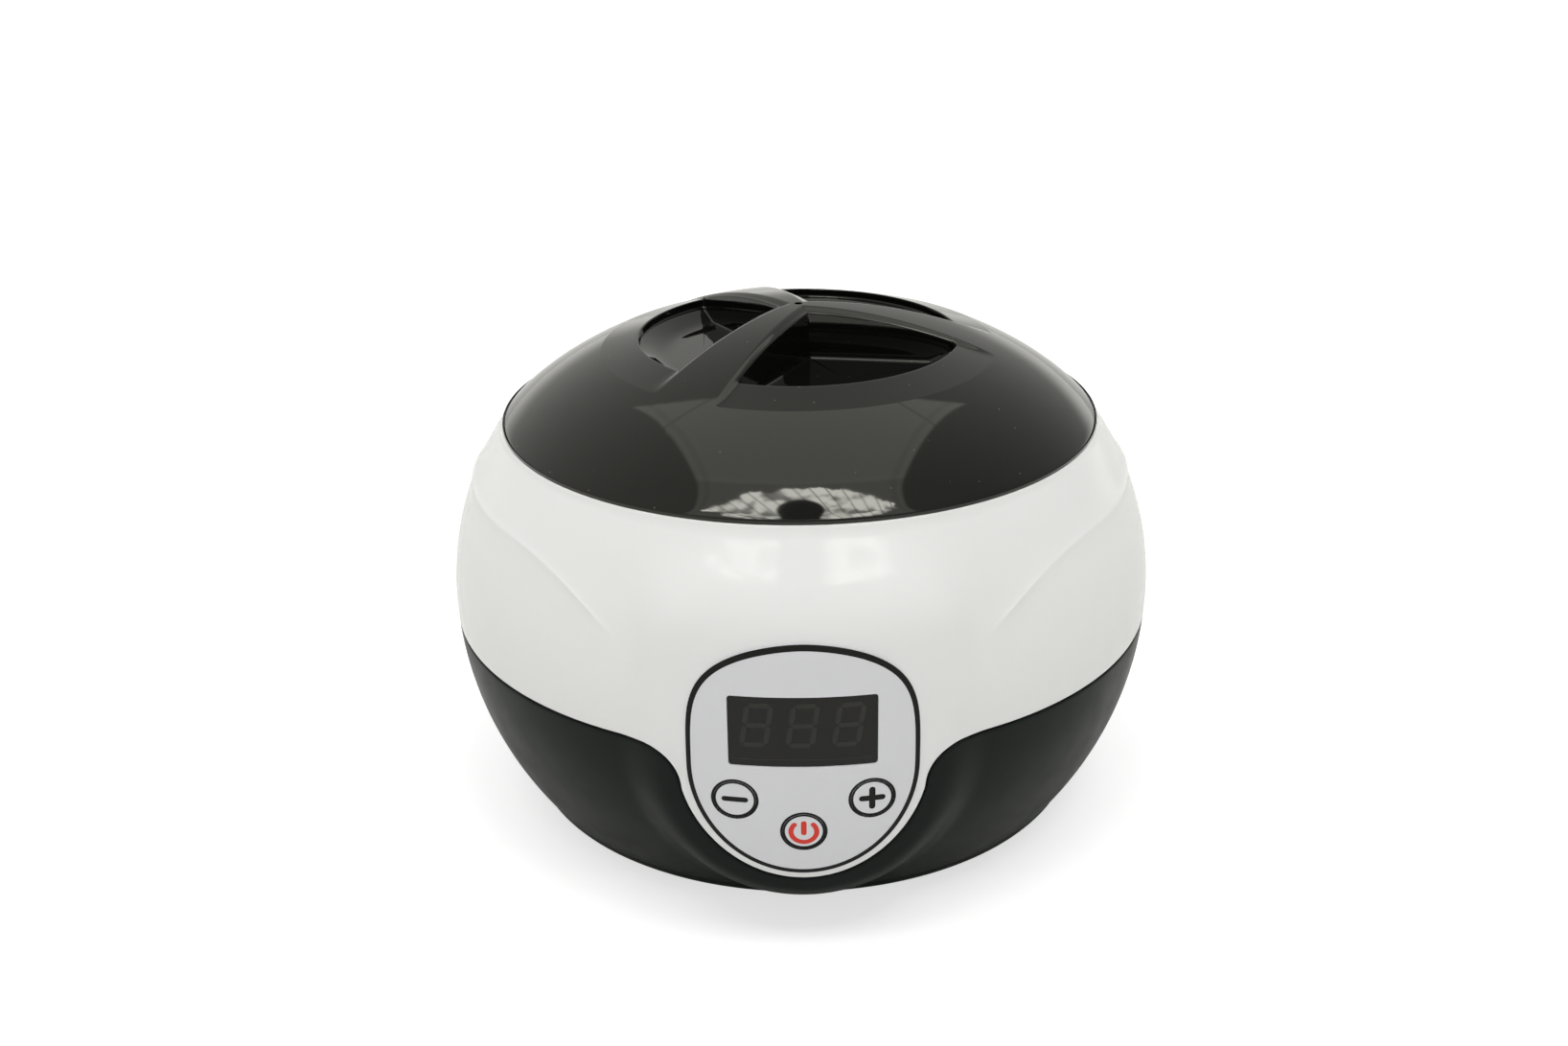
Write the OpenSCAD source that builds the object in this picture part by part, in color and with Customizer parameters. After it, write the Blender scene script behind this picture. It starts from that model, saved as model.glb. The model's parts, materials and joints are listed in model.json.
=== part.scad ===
// Table-top wax warmer: a round heater housing with a control nose, a lift-out
// pot with a bail handle and a domed lid with three finger pockets.
// Millimetres, +Z up, the nose looks along -Y, z = 0 is the table top.

/* [Housing] */
// Diameter of the housing at its widest height
body_d = 180; // [168:1:216]
// Height of the widest part above the table
belly_z = 58; // [54:1:62]
// Diameter of the housing at its rim
rim_d = 149.6; // [140:0.2:156]
// Half height of the ellipse that shapes the housing below its widest part
keel_h = 88; // [80:1:105]
// Height of the top rim that carries the lid
rim_z = 102.5; // [98:0.5:123]
// Height of the parting line between the two housings
seam_z = 53.8; // [50:0.2:58]
// Wall of both housings
wall = 2.5; // [2:0.1:3]
// Gap along the parting line
seam_gap = 0.45; // [0.2:0.05:0.6]
// Height of the locating lip inside the parting line
seam_lip = 1.6; // [1.2:0.1:2.4]
// Width of the flat top rim
rim_w = 3.4; // [3:0.1:4]
// Depth of the deck below the rim
deck_drop = 5.5; // [5:0.1:7]
// Thickness of the deck
deck_t = 2.5; // [2:0.1:3]
// Width of the deck between the rim wall and the well's hole
deck_w = 8; // [7.5:0.1:9]
// Drop from the rim to the soft shoulder line, at the sides
shoulder_drop = 13; // [11:0.5:16]
// Height that the shoulder line stands out
shoulder_h = 0.5; // [0.2:0.05:0.8]

/* [Nose and panel] */
// How far the nose's face stands in front of the housing's widest part
nose_proud = 2; // [1:0.25:4]
// Radius of the face, seen from above
face_r = 88; // [80:1:110]
// Radius of the face, seen from the side
face_bow_r = 220; // [180:5:300]
// Height at which the face is upright
face_z = 56; // [52:1:60]
// Height of the panel's widest line
panel_z = 51.5; // [50:0.5:54]
// Width of the panel overlay
panel_w = 51.6; // [48:0.5:56]
// Height of the overlay above its widest line
panel_top = 29.4; // [26:0.2:31]
// Height of the overlay below its widest line
panel_bottom = 28.6; // [26:0.2:30]
// White margin between the overlay and the parting line
panel_margin = 2.1; // [1.5:0.1:3]
// Thickness of the overlay
overlay_t = 0.45; // [0.3:0.05:0.8]
// Width of the display window
window_w = 32.8; // [30:0.2:36]
// Height of the display window
window_h = 17.2; // [15:0.2:19]
// Height of the window's centre
window_z = 60.8; // [59:0.2:62]
// Thickness of the window's lens
lens_t = 1.7; // [1.2:0.1:2.2]
// Distance of the minus and plus keys from the middle
key_x = 15.2; // [14:0.1:16]
// Height of the minus and plus keys
key_z = 43.2; // [42:0.1:44.5]
// Height of the power key
power_z = 35; // [33.5:0.1:36]
// Diameter of a key cap
key_d = 9.4; // [8:0.1:10]
// Travel of a key
key_travel = 0.4; // [0.2:0.05:0.6]

/* [Pot and well] */
// Running gap between the pot and the well around it
pot_gap = 1.2; // [0.8:0.1:2]
// Wall of the pot
pot_wall = 1.2; // [1:0.1:1.6]
// Wall of the heating well
well_wall = 1.5; // [1.2:0.1:2]
// Width that the well narrows by towards its floor
well_taper = 4; // [2:0.5:6]
// Height of the bay under the well that holds the electronics
bay_h = 29.5; // [28:0.5:34]
// Radius of the bail wire
bail_wire_r = 1.5; // [1.2:0.1:1.8]
// Radius of the bail's grip
grip_r = 3; // [2.6:0.1:3.2]
// Height of the bail's pivot above the pot's flange
pivot_h = 5.8; // [5.4:0.1:6.2]

/* [Lid] */
// Height of the dome above the rim
lid_h = 27.2; // [24:0.2:32]
// Wall of the lid
lid_wall = 2.4; // [2:0.1:3]
// Gap between the lid and its seat
lid_seat = 0.3; // [0.2:0.05:0.4]
// Play of the lid's lip inside the rim
lid_play = 0.5; // [0.3:0.05:0.8]
// Radius of the finger pockets' outer edge
pocket_r = 40; // [36:0.5:44]
// Distance of a finger pocket's inner corner from the middle
pocket_apex = 5.1; // [4.6:0.1:6]
// Radius where the sunk field around a pocket meets the dome
field_r = 49.5; // [46:0.5:52]
// Depth of the sunk field around a pocket
field_sink = 0.8; // [0.4:0.1:1.2]
// Height of the pockets' floor below the top of the lid
pocket_floor_drop = 12.5; // [10:0.5:14]
// Turn of the lid as the photograph shows it
lid_turn = -2.8; // [-10:0.1:10]

/* [Base and electrics] */
// Height of the feet
foot_h = 4; // [3:0.5:6]
// Radius of a foot
foot_r = 7; // [6:0.5:8]
// Distance of the feet from the middle
foot_place = 52; // [46:1:54]
// Play between a screw and its hole
screw_play = 0.05; // [0.03:0.01:0.1]
// Height of the mains inlet's centre
inlet_z = 43.5; // [42:0.5:45]
// Width of the inlet's face
inlet_w = 24; // [22:0.5:26]
// Height of the inlet's face
inlet_h = 13.6; // [13:0.2:14.6]

/* [Hidden] */

$fn = 96;
white = [0.93, 0.93, 0.91];
gloss_black = [0.09, 0.09, 0.085];
satin_black = [0.15, 0.155, 0.15];
silver = [0.78, 0.79, 0.8];
steel = [0.6, 0.61, 0.62];
board_green = [0.1, 0.33, 0.18];
panel_grey = [0.79, 0.79, 0.81];
tiny = 0.01;

belly_r = body_d / 2;
base_z = foot_h;
floor_z = base_z + wall;
edge_r = 3;
rim_r = rim_d / 2;
// Half height of the ellipse that shapes the housing above its widest part
crown_h = (rim_z - belly_z) / sqrt(1 - pow(rim_r / belly_r, 2));
shoulder_z = rim_z - shoulder_drop;
nose_front = belly_r + nose_proud;
deck_z = rim_z - deck_drop;

function clamp01(t) = min(1, max(0, t));
function ease(t) = (1 - cos(180 * clamp01(t))) / 2;
// Radius of the housing without its nose
function body_r(z) =
    belly_r * sqrt(1 - pow((z - belly_z) / (z > belly_z ? crown_h : keel_h), 2));
collar_r = rim_r - rim_w;
hole_r = collar_r - deck_w;

// The face of the nose: distance in front of the axis at a width and a height
function face_centre(z) = nose_front - face_r - pow(z - face_z, 2) / (2 * face_bow_r);
function face_y(x, z) = face_centre(z) + sqrt(face_r * face_r - x * x);
function face_at(a, z) =
    face_centre(z) * cos(a) + sqrt(pow(face_r, 2) - pow(face_centre(z) * sin(a), 2));

// Half width and half heights of the margin around the panel
margin_a = panel_w / 2 + panel_margin;
margin_top = panel_top + panel_margin;
margin_bottom = panel_bottom + panel_margin;
// 1 on the margin's outline, less inside: an ellipse below and a fuller curve above
function nose_reach(x, z) = z < panel_z
    ? sqrt(pow(x / margin_a, 2) + pow((panel_z - z) / margin_bottom, 2))
    : pow(pow(abs(x) / margin_a, 3) + pow((z - panel_z) / (margin_top * nose_crown), 3), 1 / 3);
nose_crown = 1.3;
nose_rim = 1.1;
nose_foot = 1.52;
// Heights over which the nose runs out under the rim and above the base
rim_fade = 22;
base_fade = 9;
function nose_share(a, z) = abs(a) > 75 ? 0
    : (1 - ease((nose_reach(body_r(z) * sin(a), z) - nose_rim) / (nose_foot - nose_rim)))
        * ease((rim_z - z) / rim_fade) * ease((z - base_z) / base_fade);

// The shoulder line runs level round the housing and dips towards the panel
dip_start = 52;
dip_end = 28;
shoulder_dip = 11;
function shoulder_line(a) =
    shoulder_z - shoulder_dip * ease((dip_start - abs(a)) / (dip_start - dip_end));
function shoulder_share(a) = ease((abs(a) - dip_end) / 8);
shoulder_reach = 7;
function shoulder_rise(a, z) =
    shoulder_h * shoulder_share(a) * pow(clamp01(1 - abs(z - shoulder_line(a)) / shoulder_reach), 2);

// Outside of the housing at an angle from the front and a height
function shell_r(a, z) =
    body_r(z) + shoulder_rise(a, z)
    + nose_share(a, z) * max(0, face_at(a, z) - body_r(z));

// The parting line: level, then down an S and round under the panel
bend_w = 9;
turn_x = margin_a * 0.968;
turn_z = panel_z - margin_bottom * sqrt(1 - pow(turn_x / margin_a, 2));
function seam_at(a) =
    let (x = abs(a) > 75 ? belly_r : abs(belly_r * sin(a)))
    x <= turn_x ? panel_z - margin_bottom * sqrt(1 - pow(x / margin_a, 2))
    : x >= turn_x + bend_w ? seam_z
    : turn_z + (seam_z - turn_z) * sqrt(1 - pow(1 - (x - turn_x) / bend_w, 2));

// Angles of the columns of the housings, closer together around the panel
half_turn = [0, 3, 6, 9, 12, 14, 15.6, 16.7, 17.4, 17.9, 18.6, 19.6, 21, 22.6, 24.4, 27,
    30, 34, 38, 42, 47, 52, 58, 64, 70, 76, 82, 88, 94, 100, 106, 112, 118, 124, 130,
    136, 142, 148, 154, 160, 166, 172, 178];
turns = concat(half_turn, [for (i = [len(half_turn) - 1:-1:1]) -half_turn[i]]);

function place(a, r, z) = [r * sin(a), -r * cos(a), z];
// Faces of a grid of rings; each ring has n points
function skin(rows, n, closed) = [for (j = [0:rows - (closed ? 1 : 2)], i = [0:n - 1])
    let (k = (i + 1) % n, a = j * n, b = ((j + 1) % rows) * n)
    each [[a + i, b + i, b + k], [a + i, b + k, a + k]]];

// Local frame on the nose's face: +Z looks out of it
function face_tilt(z) = atan((z - face_z) / face_bow_r);
function face_turn(x) = asin(x / face_r);
module on_face(x, z) {
    translate([x, -face_y(x, z), z]) rotate([90 - face_tilt(z), 0, face_turn(x)]) children();
}
// Puts its children at four corners, around the axis
module at_corners(r) {
    for (a = [45:90:315]) rotate([0, 0, a]) translate([r, 0, 0]) children();
}
module tube(r, bore, h) {
    difference() {
        cylinder(r = r, h = h);
        translate([0, 0, -tiny]) cylinder(r = bore, h = h + 2 * tiny);
    }
}
module box(size, at) { translate(at) cube(size, center = true); }

// Screws that join the two housings
boss_r = 3.4;
boss_place = hole_r + 3.9;
boss_meet = 26;
housing_screw_r = 1.5;
head_r = 2.9;
head_h = 2;
recess_r = 3.4;
recess_top = base_z + 6;

upper_rows = 9;
crown_rows = 7;
inner_rows = 8;
lip_t = wall / 2;
lip_play = 0.2;
rebate = seam_lip + 0.3;

function upper_ring(f) = [for (a = turns)
    let (lo = seam_at(a), mid = shoulder_line(a),
        z = f <= 1 ? lo + (mid - lo) * f : mid + (rim_z - mid) * (f - 1))
    place(a, shell_r(a, z), z)];
function inner_ring(lo_rise, hi, f, inset) = [for (a = turns)
    let (lo = seam_at(a) + lo_rise, z = hi + (lo - hi) * f)
    place(a, shell_r(a, z) - inset, z)];
function round_ring(r, z) = [for (a = turns) place(a, r, z)];

module upper_shell() {
    under = deck_z - deck_t;
    rings = concat(
        [for (k = [0:upper_rows]) upper_ring(k / upper_rows)],
        [for (k = [1:crown_rows]) upper_ring(1 + k / crown_rows)],
        [round_ring(collar_r, rim_z), round_ring(collar_r, deck_z),
         round_ring(hole_r, deck_z), round_ring(hole_r, under)],
        [for (k = [0:inner_rows]) inner_ring(rebate, under, k / inner_rows, wall)],
        [inner_ring(rebate, 0, 1, lip_t - lip_play)],
        [[for (a = turns) let (z = seam_at(a)) place(a, shell_r(a, z) - lip_t + lip_play, z)]]);
    n = len(turns);
    polyhedron([for (r = rings) each r], skin(len(rings), n, true));
}

// Posts that carry the display board behind the face
post_r = 2.4;
board_front = nose_front - 12;
post_x = 18;
post_low = 33.5;
post_high = 73;
module at_posts() {
    for (x = [-post_x, post_x], z = [post_low, post_high])
        translate([x, -board_front, z]) rotate([90, 0, 0]) children();
}
post_screw_r = 1;
stem_r = 2.2;
stem_play = 0.3;
lens_play = 0.2;
key_play = 0.2;
// Sink around a key, deep enough for its travel
key_sink = key_travel + 0.1;
module at_keys() {
    for (x = [-key_x, key_x]) on_face(x, key_z) children();
    on_face(0, power_z) children();
}

module upper_housing() color(white) difference() {
    union() {
        upper_shell();
        at_corners(boss_place) translate([0, 0, boss_meet])
            cylinder(r = boss_r, h = deck_z - deck_t / 2 - boss_meet);
        at_posts() cylinder(r = post_r, h = face_y(post_x, post_low) - board_front - wall / 2);
    }
    at_corners(boss_place) translate([0, 0, boss_meet - tiny])
        cylinder(r = housing_screw_r + screw_play, h = 20);
    at_posts() translate([0, 0, -tiny]) cylinder(r = post_screw_r + screw_play, h = 4.5);
    box([window_w + 2 * lens_play, 14, window_h + 2 * lens_play], [0, -nose_front, window_z]);
    at_keys() cylinder(r = stem_r + stem_play, h = 4 * wall, center = true);
    at_keys() translate([0, 0, -key_sink]) cylinder(d = key_d + 2 * key_play, h = wall);
    for (a = [0:90:270]) rotate([0, 0, a]) translate([well_screw_place, 0, deck_z - deck_t - tiny])
        cylinder(r = well_screw_r + screw_play, h = deck_t + 2 * tiny);
}

lower_rows = 8;
base_flat = body_r(base_z + edge_r) - edge_r - 1.4;
lower_start = base_z + edge_r;
function lower_ring(f) = [for (a = turns)
    let (hi = seam_at(a) - seam_gap, z = hi + (lower_start - hi) * f)
    place(a, shell_r(a, z), z)];
module lower_shell() {
    rings = concat(
        [for (k = [0:inner_rows]) inner_ring(seam_lip, floor_z + edge_r, 1 - k / inner_rows, wall)],
        [round_ring(base_flat - wall, floor_z)]);
    n = len(turns);
    outer = concat(
        [round_ring(base_flat, base_z), round_ring(base_flat + 2.6, base_z + 0.9)],
        [for (k = [lower_rows:-1:0]) lower_ring(k / lower_rows)],
        [[for (a = turns) let (z = seam_at(a) - seam_gap)
            place(a, shell_r(a, z) - lip_t - lip_play, z)]],
        [[for (a = turns) let (z = seam_at(a) + seam_lip)
            place(a, shell_r(a, z) - lip_t - lip_play, z)]]);
    all = concat(outer, rings);
    polyhedron([for (r = all) each r], concat(skin(len(all), n, false),
        [[for (i = [0:n - 1]) i]],
        [[for (i = [n - 1:-1:0]) (len(all) - 1) * n + i]]));
}

foot_stem_r = 3;
foot_stem_play = 0.05;
inlet_seat = body_r(inlet_z) - 1.9;
inlet_body_w = 20;
inlet_body_h = 10.4;
inlet_deep = 16;
inlet_pad_t = 4;
power_posts = [[-25, 12], [25, 12], [-25, 46], [25, 46]];
power_post_h = 6;
board_t = 1.6;

module lower_housing() color(satin_black) difference() {
    union() {
        lower_shell();
        at_corners(boss_place) translate([0, 0, floor_z - wall / 2])
            cylinder(r = boss_r + 1, h = boss_meet - floor_z + wall / 2);
        for (p = power_posts) translate([p[0], p[1], floor_z - wall / 2])
            cylinder(r = 3, h = power_post_h + wall / 2);
        box([inlet_w + 4, inlet_pad_t, inlet_h + 4], [0, inlet_seat - inlet_pad_t / 2, inlet_z]);
    }
    at_corners(boss_place) translate([0, 0, -tiny]) cylinder(r = recess_r, h = recess_top + 2 * tiny);
    at_corners(boss_place) translate([0, 0, -tiny])
        cylinder(r = housing_screw_r + 0.3, h = boss_meet + 1);
    at_corners(foot_place) translate([0, 0, base_z - tiny])
        cylinder(r = foot_stem_r + foot_stem_play, h = wall + 2 * tiny);
    for (p = power_posts) translate([p[0], p[1], floor_z + 0.5])
        cylinder(r = post_screw_r + screw_play, h = power_post_h);
    box([inlet_w + 0.4, 20, inlet_h + 0.4], [0, inlet_seat + 10, inlet_z]);
    box([inlet_body_w + 0.4, 20, inlet_body_h + 0.4], [0, inlet_seat - 2, inlet_z]);
    for (x = [-24:8:24]) box([3, 24, 4 * wall], [x, -20, base_z]);
}

foot_dish = 0.8;
module rubber_feet() color([0.13, 0.13, 0.13]) at_corners(foot_place) union() {
    rotate_extrude() polygon([[0, 0], [foot_r - 1.2, 0], [foot_r, foot_dish], [foot_r - 0.6, foot_h],
        [foot_stem_r, foot_h], [foot_stem_r, foot_h + wall + 0.1],
        [foot_stem_r + 0.7, foot_h + wall + 0.4], [foot_stem_r - 0.8, foot_h + wall + 2],
        [0, foot_h + wall + 2]]);
}

// Pan-head screw, head down, with its tip up
module screw(r, length, head, head_height) {
    difference() {
        union() {
            cylinder(r = r, h = length);
            translate([0, 0, -head_height]) cylinder(r1 = head * 0.85, r2 = head, h = head_height);
        }
        for (a = [0, 90]) rotate([0, 0, a])
            box([head * 1.1, head * 0.24, head_height], [0, 0, -head_height]);
    }
}
module housing_screws() color(steel) at_corners(boss_place)
    translate([0, 0, recess_top]) screw(housing_screw_r, boss_meet - recess_top + 12, head_r, head_h);

// Outline of the overlay: angle to width and height
panel_steps = 64;
function outline_at(t) =
    let (c = cos(t), s = sin(t), a = panel_w / 2)
    s <= 0 ? [a * c, panel_z + panel_bottom * s]
    : let (k = pow(pow(abs(c), 3) + pow(s, 3), -1 / 3))
        [a * c * k, panel_z + panel_top * s * k];
// Layer of glue under the overlay
overlay_lift = 0.15;
module overlay_sheet() {
    rings = [0.01, 0.35, 0.65, 0.85, 1];
    pts = function (scale, lift) [for (i = [0:panel_steps - 1])
        let (p = outline_at(360 * i / panel_steps), x = p[0] * scale,
            z = panel_z + (p[1] - panel_z) * scale)
        [x, -face_y(x, z) - lift, z]];
    n = panel_steps;
    all = concat([for (k = rings) pts(k, overlay_lift + overlay_t)],
        [for (k = [len(rings) - 1:-1:0]) pts(rings[k], overlay_lift)]);
    rows = len(all);
    polyhedron([for (r = all) each r], concat(skin(rows, n, false),
        [[for (i = [0:n - 1]) i]], [[for (i = [n - 1:-1:0]) (rows - 1) * n + i]]));
}
module control_overlay() color(panel_grey) difference() {
    overlay_sheet();
    box([window_w, 14, window_h], [0, -nose_front, window_z]);
    at_keys() cylinder(d = key_d + 2 * key_play, h = 6, center = true);
}

// Smoked lens in the window's opening, its front just under the overlay
lens_drop = 0.45;
module display_window() color([0.12, 0.12, 0.11]) intersection() {
    box([window_w + lens_play, 16, window_h + lens_play], [0, -nose_front, window_z]);
    translate([0, -face_centre(window_z), window_z - window_h])
        tube(face_r - lens_drop, face_r - lens_drop - lens_t, 2 * window_h);
}

// Key caps in the overlay and the plungers behind them
cap_t = 0.5;
module key_cap(x, z) on_face(x, z)
    translate([0, 0, overlay_lift + overlay_t - cap_t]) cylinder(d = key_d, h = cap_t);
module key_minus() color(panel_grey) key_cap(-key_x, key_z);
module key_plus() color(panel_grey) key_cap(key_x, key_z);
module key_power() color(panel_grey) key_cap(0, power_z);

// A plunger runs from under its cap through the housing to its switch. Its flange lies
// behind the wall and keeps it in
switch_h = 3.6;
tip_r = 1.7;
tip_in = 1;
switch_front = board_front + switch_h;
function plunger_length(x, z) =
    (face_y(x, z) - switch_front) / (cos(face_tilt(z)) * cos(face_turn(x)));
flange_gap = 0.3;
flange_t = 1;
tip_free = 0.7;
glue_gap = 0.02;
module plunger(x, z) {
    deep = plunger_length(x, z);
    on_face(x, z) translate([0, 0, overlay_lift + overlay_t - cap_t - deep - tip_in])
        union() {
            cylinder(r = tip_r, h = tip_in + 1);
            translate([0, 0, tip_in + tip_free]) cylinder(r = stem_r, h = deep - tip_free - glue_gap);
            translate([0, 0, tip_in + deep - wall - flange_gap - flange_t])
                cylinder(r = stem_r + 0.9, h = flange_t);
        }
}
module plunger_minus() color([0.9, 0.9, 0.88]) plunger(-key_x, key_z);
module plunger_plus() color([0.9, 0.9, 0.88]) plunger(key_x, key_z);
module plunger_power() color([0.9, 0.9, 0.88]) plunger(0, power_z);

display_board_w = 44;
display_board_low = 29.5;
display_board_high = 77;
module display_board() color(board_green) difference() {
    box([display_board_w, board_t, display_board_high - display_board_low],
        [0, -board_front + board_t / 2, (display_board_high + display_board_low) / 2]);
    at_posts() translate([0, 0, -4]) cylinder(r = post_screw_r + 0.3, h = 8);
}
module display_screws() color(steel) at_posts() translate([0, 0, -board_t])
    screw(post_screw_r, board_t + 4, 1.9, 1.3);

led_w = 30.2;
led_h = 14;
module led_display() color([0.2, 0.2, 0.2]) difference() {
    front = nose_front - lens_drop - lens_t - 0.4 - (face_r - sqrt(face_r * face_r - led_w * led_w / 4));
    box([led_w, front - board_front, led_h], [0, -(front + board_front) / 2, window_z]);
    for (x = [-10.1, 0, 10.1]) box([6.6, 0.6, 10.4], [x, -front, window_z]);
}

switch_w = 6;
module tact_switches() color([0.2, 0.2, 0.21])
    for (k = [[-key_x, key_z], [key_x, key_z], [0, power_z]]) {
        // Each switch stands square on the board, under the end of its plunger
        back = (face_y(k[0], k[1]) - switch_front);
        x = k[0] - back * tan(face_turn(k[0]));
        z = k[1] - back * tan(face_tilt(k[1]));
        difference() {
            box([switch_w, switch_h, switch_w], [x, -board_front - switch_h / 2, z]);
            translate([x, -switch_front + 2, z]) rotate([90, 0, 0])
                cylinder(r = tip_r + 0.6, h = 4);
        }
    }

// The well, its seat and what heats it
well_in_top = hole_r - 4;
pot_flange_t = 1.2;
seat_gap = 0.3;
well_floor = floor_z + bay_h;
flange_over = 6.6;
well_flange_t = 1.2;
gasket_t = 0.8;
well_flange_z = deck_z + gasket_t;
well_screw_place = hole_r + flange_over - 3.2;
well_screw_r = 1.2;
well_in_low = well_in_top - well_taper;
corner_r = 4;
// Quarter arc from the floor into a wall, as points
function arc(cx, cz, r, from, to) =
    [for (k = [0:4]) [cx + r * cos(from + (to - from) * k / 4), cz + r * sin(from + (to - from) * k / 4)]];
module heating_well() color(silver) difference() {
    rotate_extrude() polygon(concat(
        [[0, well_floor]],
        arc(well_in_low + well_wall - corner_r - well_wall, well_floor + corner_r + well_wall,
            corner_r + well_wall, -90, 0),
        [[well_in_top + well_wall, well_flange_z - 2], [well_in_top + well_wall, well_flange_z],
         [hole_r + flange_over, well_flange_z], [hole_r + flange_over, well_flange_z + well_flange_t],
         [well_in_top, well_flange_z + well_flange_t], [well_in_top, well_flange_z - 2]],
        arc(well_in_low - corner_r, well_floor + well_wall + corner_r, corner_r, 0, -90),
        [[0, well_floor + well_wall]]));
    for (a = [0:90:270]) rotate([0, 0, a]) translate([well_screw_place, 0, well_flange_z - tiny])
        cylinder(r = well_screw_r + 0.3, h = well_flange_t + 2 * tiny);
}
module well_gasket() color([0.75, 0.32, 0.2]) difference() {
    translate([0, 0, deck_z]) tube(hole_r + flange_over - 0.4, hole_r + 0.2, gasket_t);
    for (a = [0:90:270]) rotate([0, 0, a]) translate([well_screw_place, 0, deck_z - 1])
        cylinder(r = well_screw_r + 0.4, h = 4);
}
// The screws enter from under the deck, so that the rim stays smooth under the pot
module well_screws() color(steel) for (a = [0:90:270]) rotate([0, 0, a])
    translate([well_screw_place, 0, deck_z - deck_t])
        screw(well_screw_r, deck_t + gasket_t + well_flange_t, 2.3, 1.4);

band_low = well_floor + 10;
band_high = well_floor + 34;
band_t = 0.9;
wrap_t = 1.6;
// Outer radius of the well's wall at a height
function well_out(z) = well_wall + well_in_low + (well_in_top - well_in_low)
    * (z - well_floor - well_wall - corner_r) / (well_flange_z - 2 - well_floor - well_wall - corner_r);
module sleeve(low, high, inset, t) rotate_extrude() polygon([
    [well_out(low) + inset, low], [well_out(low) + inset + t, low],
    [well_out(high) + inset + t, high], [well_out(high) + inset, high]]);
module heater_band() color([0.72, 0.35, 0.16]) sleeve(band_low, band_high, 0.05, band_t);
module insulation_wrap() color([0.9, 0.88, 0.8])
    sleeve(band_low - 4, band_high + 12, 0.1 + band_t, wrap_t);

clip_y = -14;
module sensor_clip() color(silver) difference() {
    union() {
        box([44, 12, 1.2], [0, clip_y, well_floor - 5.6]);
        for (x = [-19, 19]) box([6, 12, 5], [x, clip_y, well_floor - 2.5 - 0.02]);
    }
    for (x = [-19, 19]) translate([x, clip_y, well_floor - 8]) cylinder(r = 1.55, h = 9);
}
module clip_screws() color(steel) for (x = [-19, 19])
    translate([x, clip_y, well_floor - 6.2]) screw(1.5, 6.2, 2.6, 1.6);
module temperature_sensor() color([0.85, 0.83, 0.75]) translate([-8, clip_y, well_floor - 2.4])
    rotate([90, 0, 0]) cylinder(r = 2.35, h = 9, center = true);
module thermal_fuse() color([0.82, 0.8, 0.74]) translate([8, clip_y - 8, well_floor - 2.4])
    rotate([-90, 0, 0]) union() {
        cylinder(r = 2.3, h = 14);
        translate([0, 0, 14]) cylinder(r1 = 2.3, r2 = 0.8, h = 2.4);
    }

// Main board under the well, with what stands on it
power_top = floor_z + power_post_h + board_t;
module power_board() color([0.5, 0.36, 0.16]) difference() {
    box([58, 44, board_t], [0, 29, power_top - board_t / 2]);
    for (p = power_posts) translate([p[0], p[1], power_top - 4]) cylinder(r = post_screw_r + 0.3, h = 8);
}
module board_screws() color(steel) for (p = power_posts)
    translate([p[0], p[1], power_top]) rotate([180, 0, 0]) screw(post_screw_r, 5.5, 1.9, 1.3);
module transformer() color([0.85, 0.72, 0.2]) union() {
    box([20, 18, 12], [-15, 28, power_top + 6]);
    box([12, 22, 8], [-15, 28, power_top + 6]);
}
module relay() color([0.12, 0.3, 0.62]) box([19, 15.4, 13], [12, 37, power_top + 6.5]);
module capacitor() color([0.15, 0.17, 0.3]) translate([6, 17, power_top]) cylinder(r = 5, h = 12.5);
module board_fuse() color([0.8, 0.82, 0.8]) translate([19, 9.5, power_top + 3.2])
    rotate([-90, 0, 0]) union() {
        translate([0, 0, 0]) cylinder(r = 2.6, h = 5);
        translate([0, 0, 5]) cylinder(r = 2.2, h = 8);
        translate([0, 0, 13]) cylinder(r = 2.6, h = 5);
        box([1, 1.4, 4.9], [0, 2.4, 2.5]);
        box([1, 1.4, 4.9], [0, 2.4, 15.5]);
    }

// Figure-8 appliance inlet in the back wall
pin_gap = 8.6;
pin_r = 1.18;
socket_deep = 11;
module mains_inlet() color([0.08, 0.08, 0.08]) translate([0, inlet_seat, inlet_z])
    rotate([90, 0, 0]) difference() {
        union() {
            translate([0, 0, -1]) cube([inlet_w, inlet_h, 2], center = true);
            translate([0, 0, inlet_deep / 2 - 0.1])
                cube([inlet_body_w, inlet_body_h, inlet_deep], center = true);
        }
        for (x = [-pin_gap / 2, pin_gap / 2]) translate([x, 0, -3]) cylinder(r = 3.7, h = 3 + socket_deep);
        translate([-pin_gap / 2, -2.1, -3]) cube([pin_gap, 4.2, 3 + socket_deep]);
        for (x = [-pin_gap / 2, pin_gap / 2]) translate([x, 0, 0])
            cylinder(r = pin_r + 0.03, h = inlet_deep + 1);
    }
module inlet_pins() color(silver) for (x = [-pin_gap / 2, pin_gap / 2])
    translate([x, inlet_seat - 1.5, inlet_z]) rotate([90, 0, 0]) union() {
        cylinder(r = pin_r, h = inlet_deep + 2.4);
        sphere(r = pin_r);
    }

// A wire along a smooth path through hand-set points
lead_r = 0.9;
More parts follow.
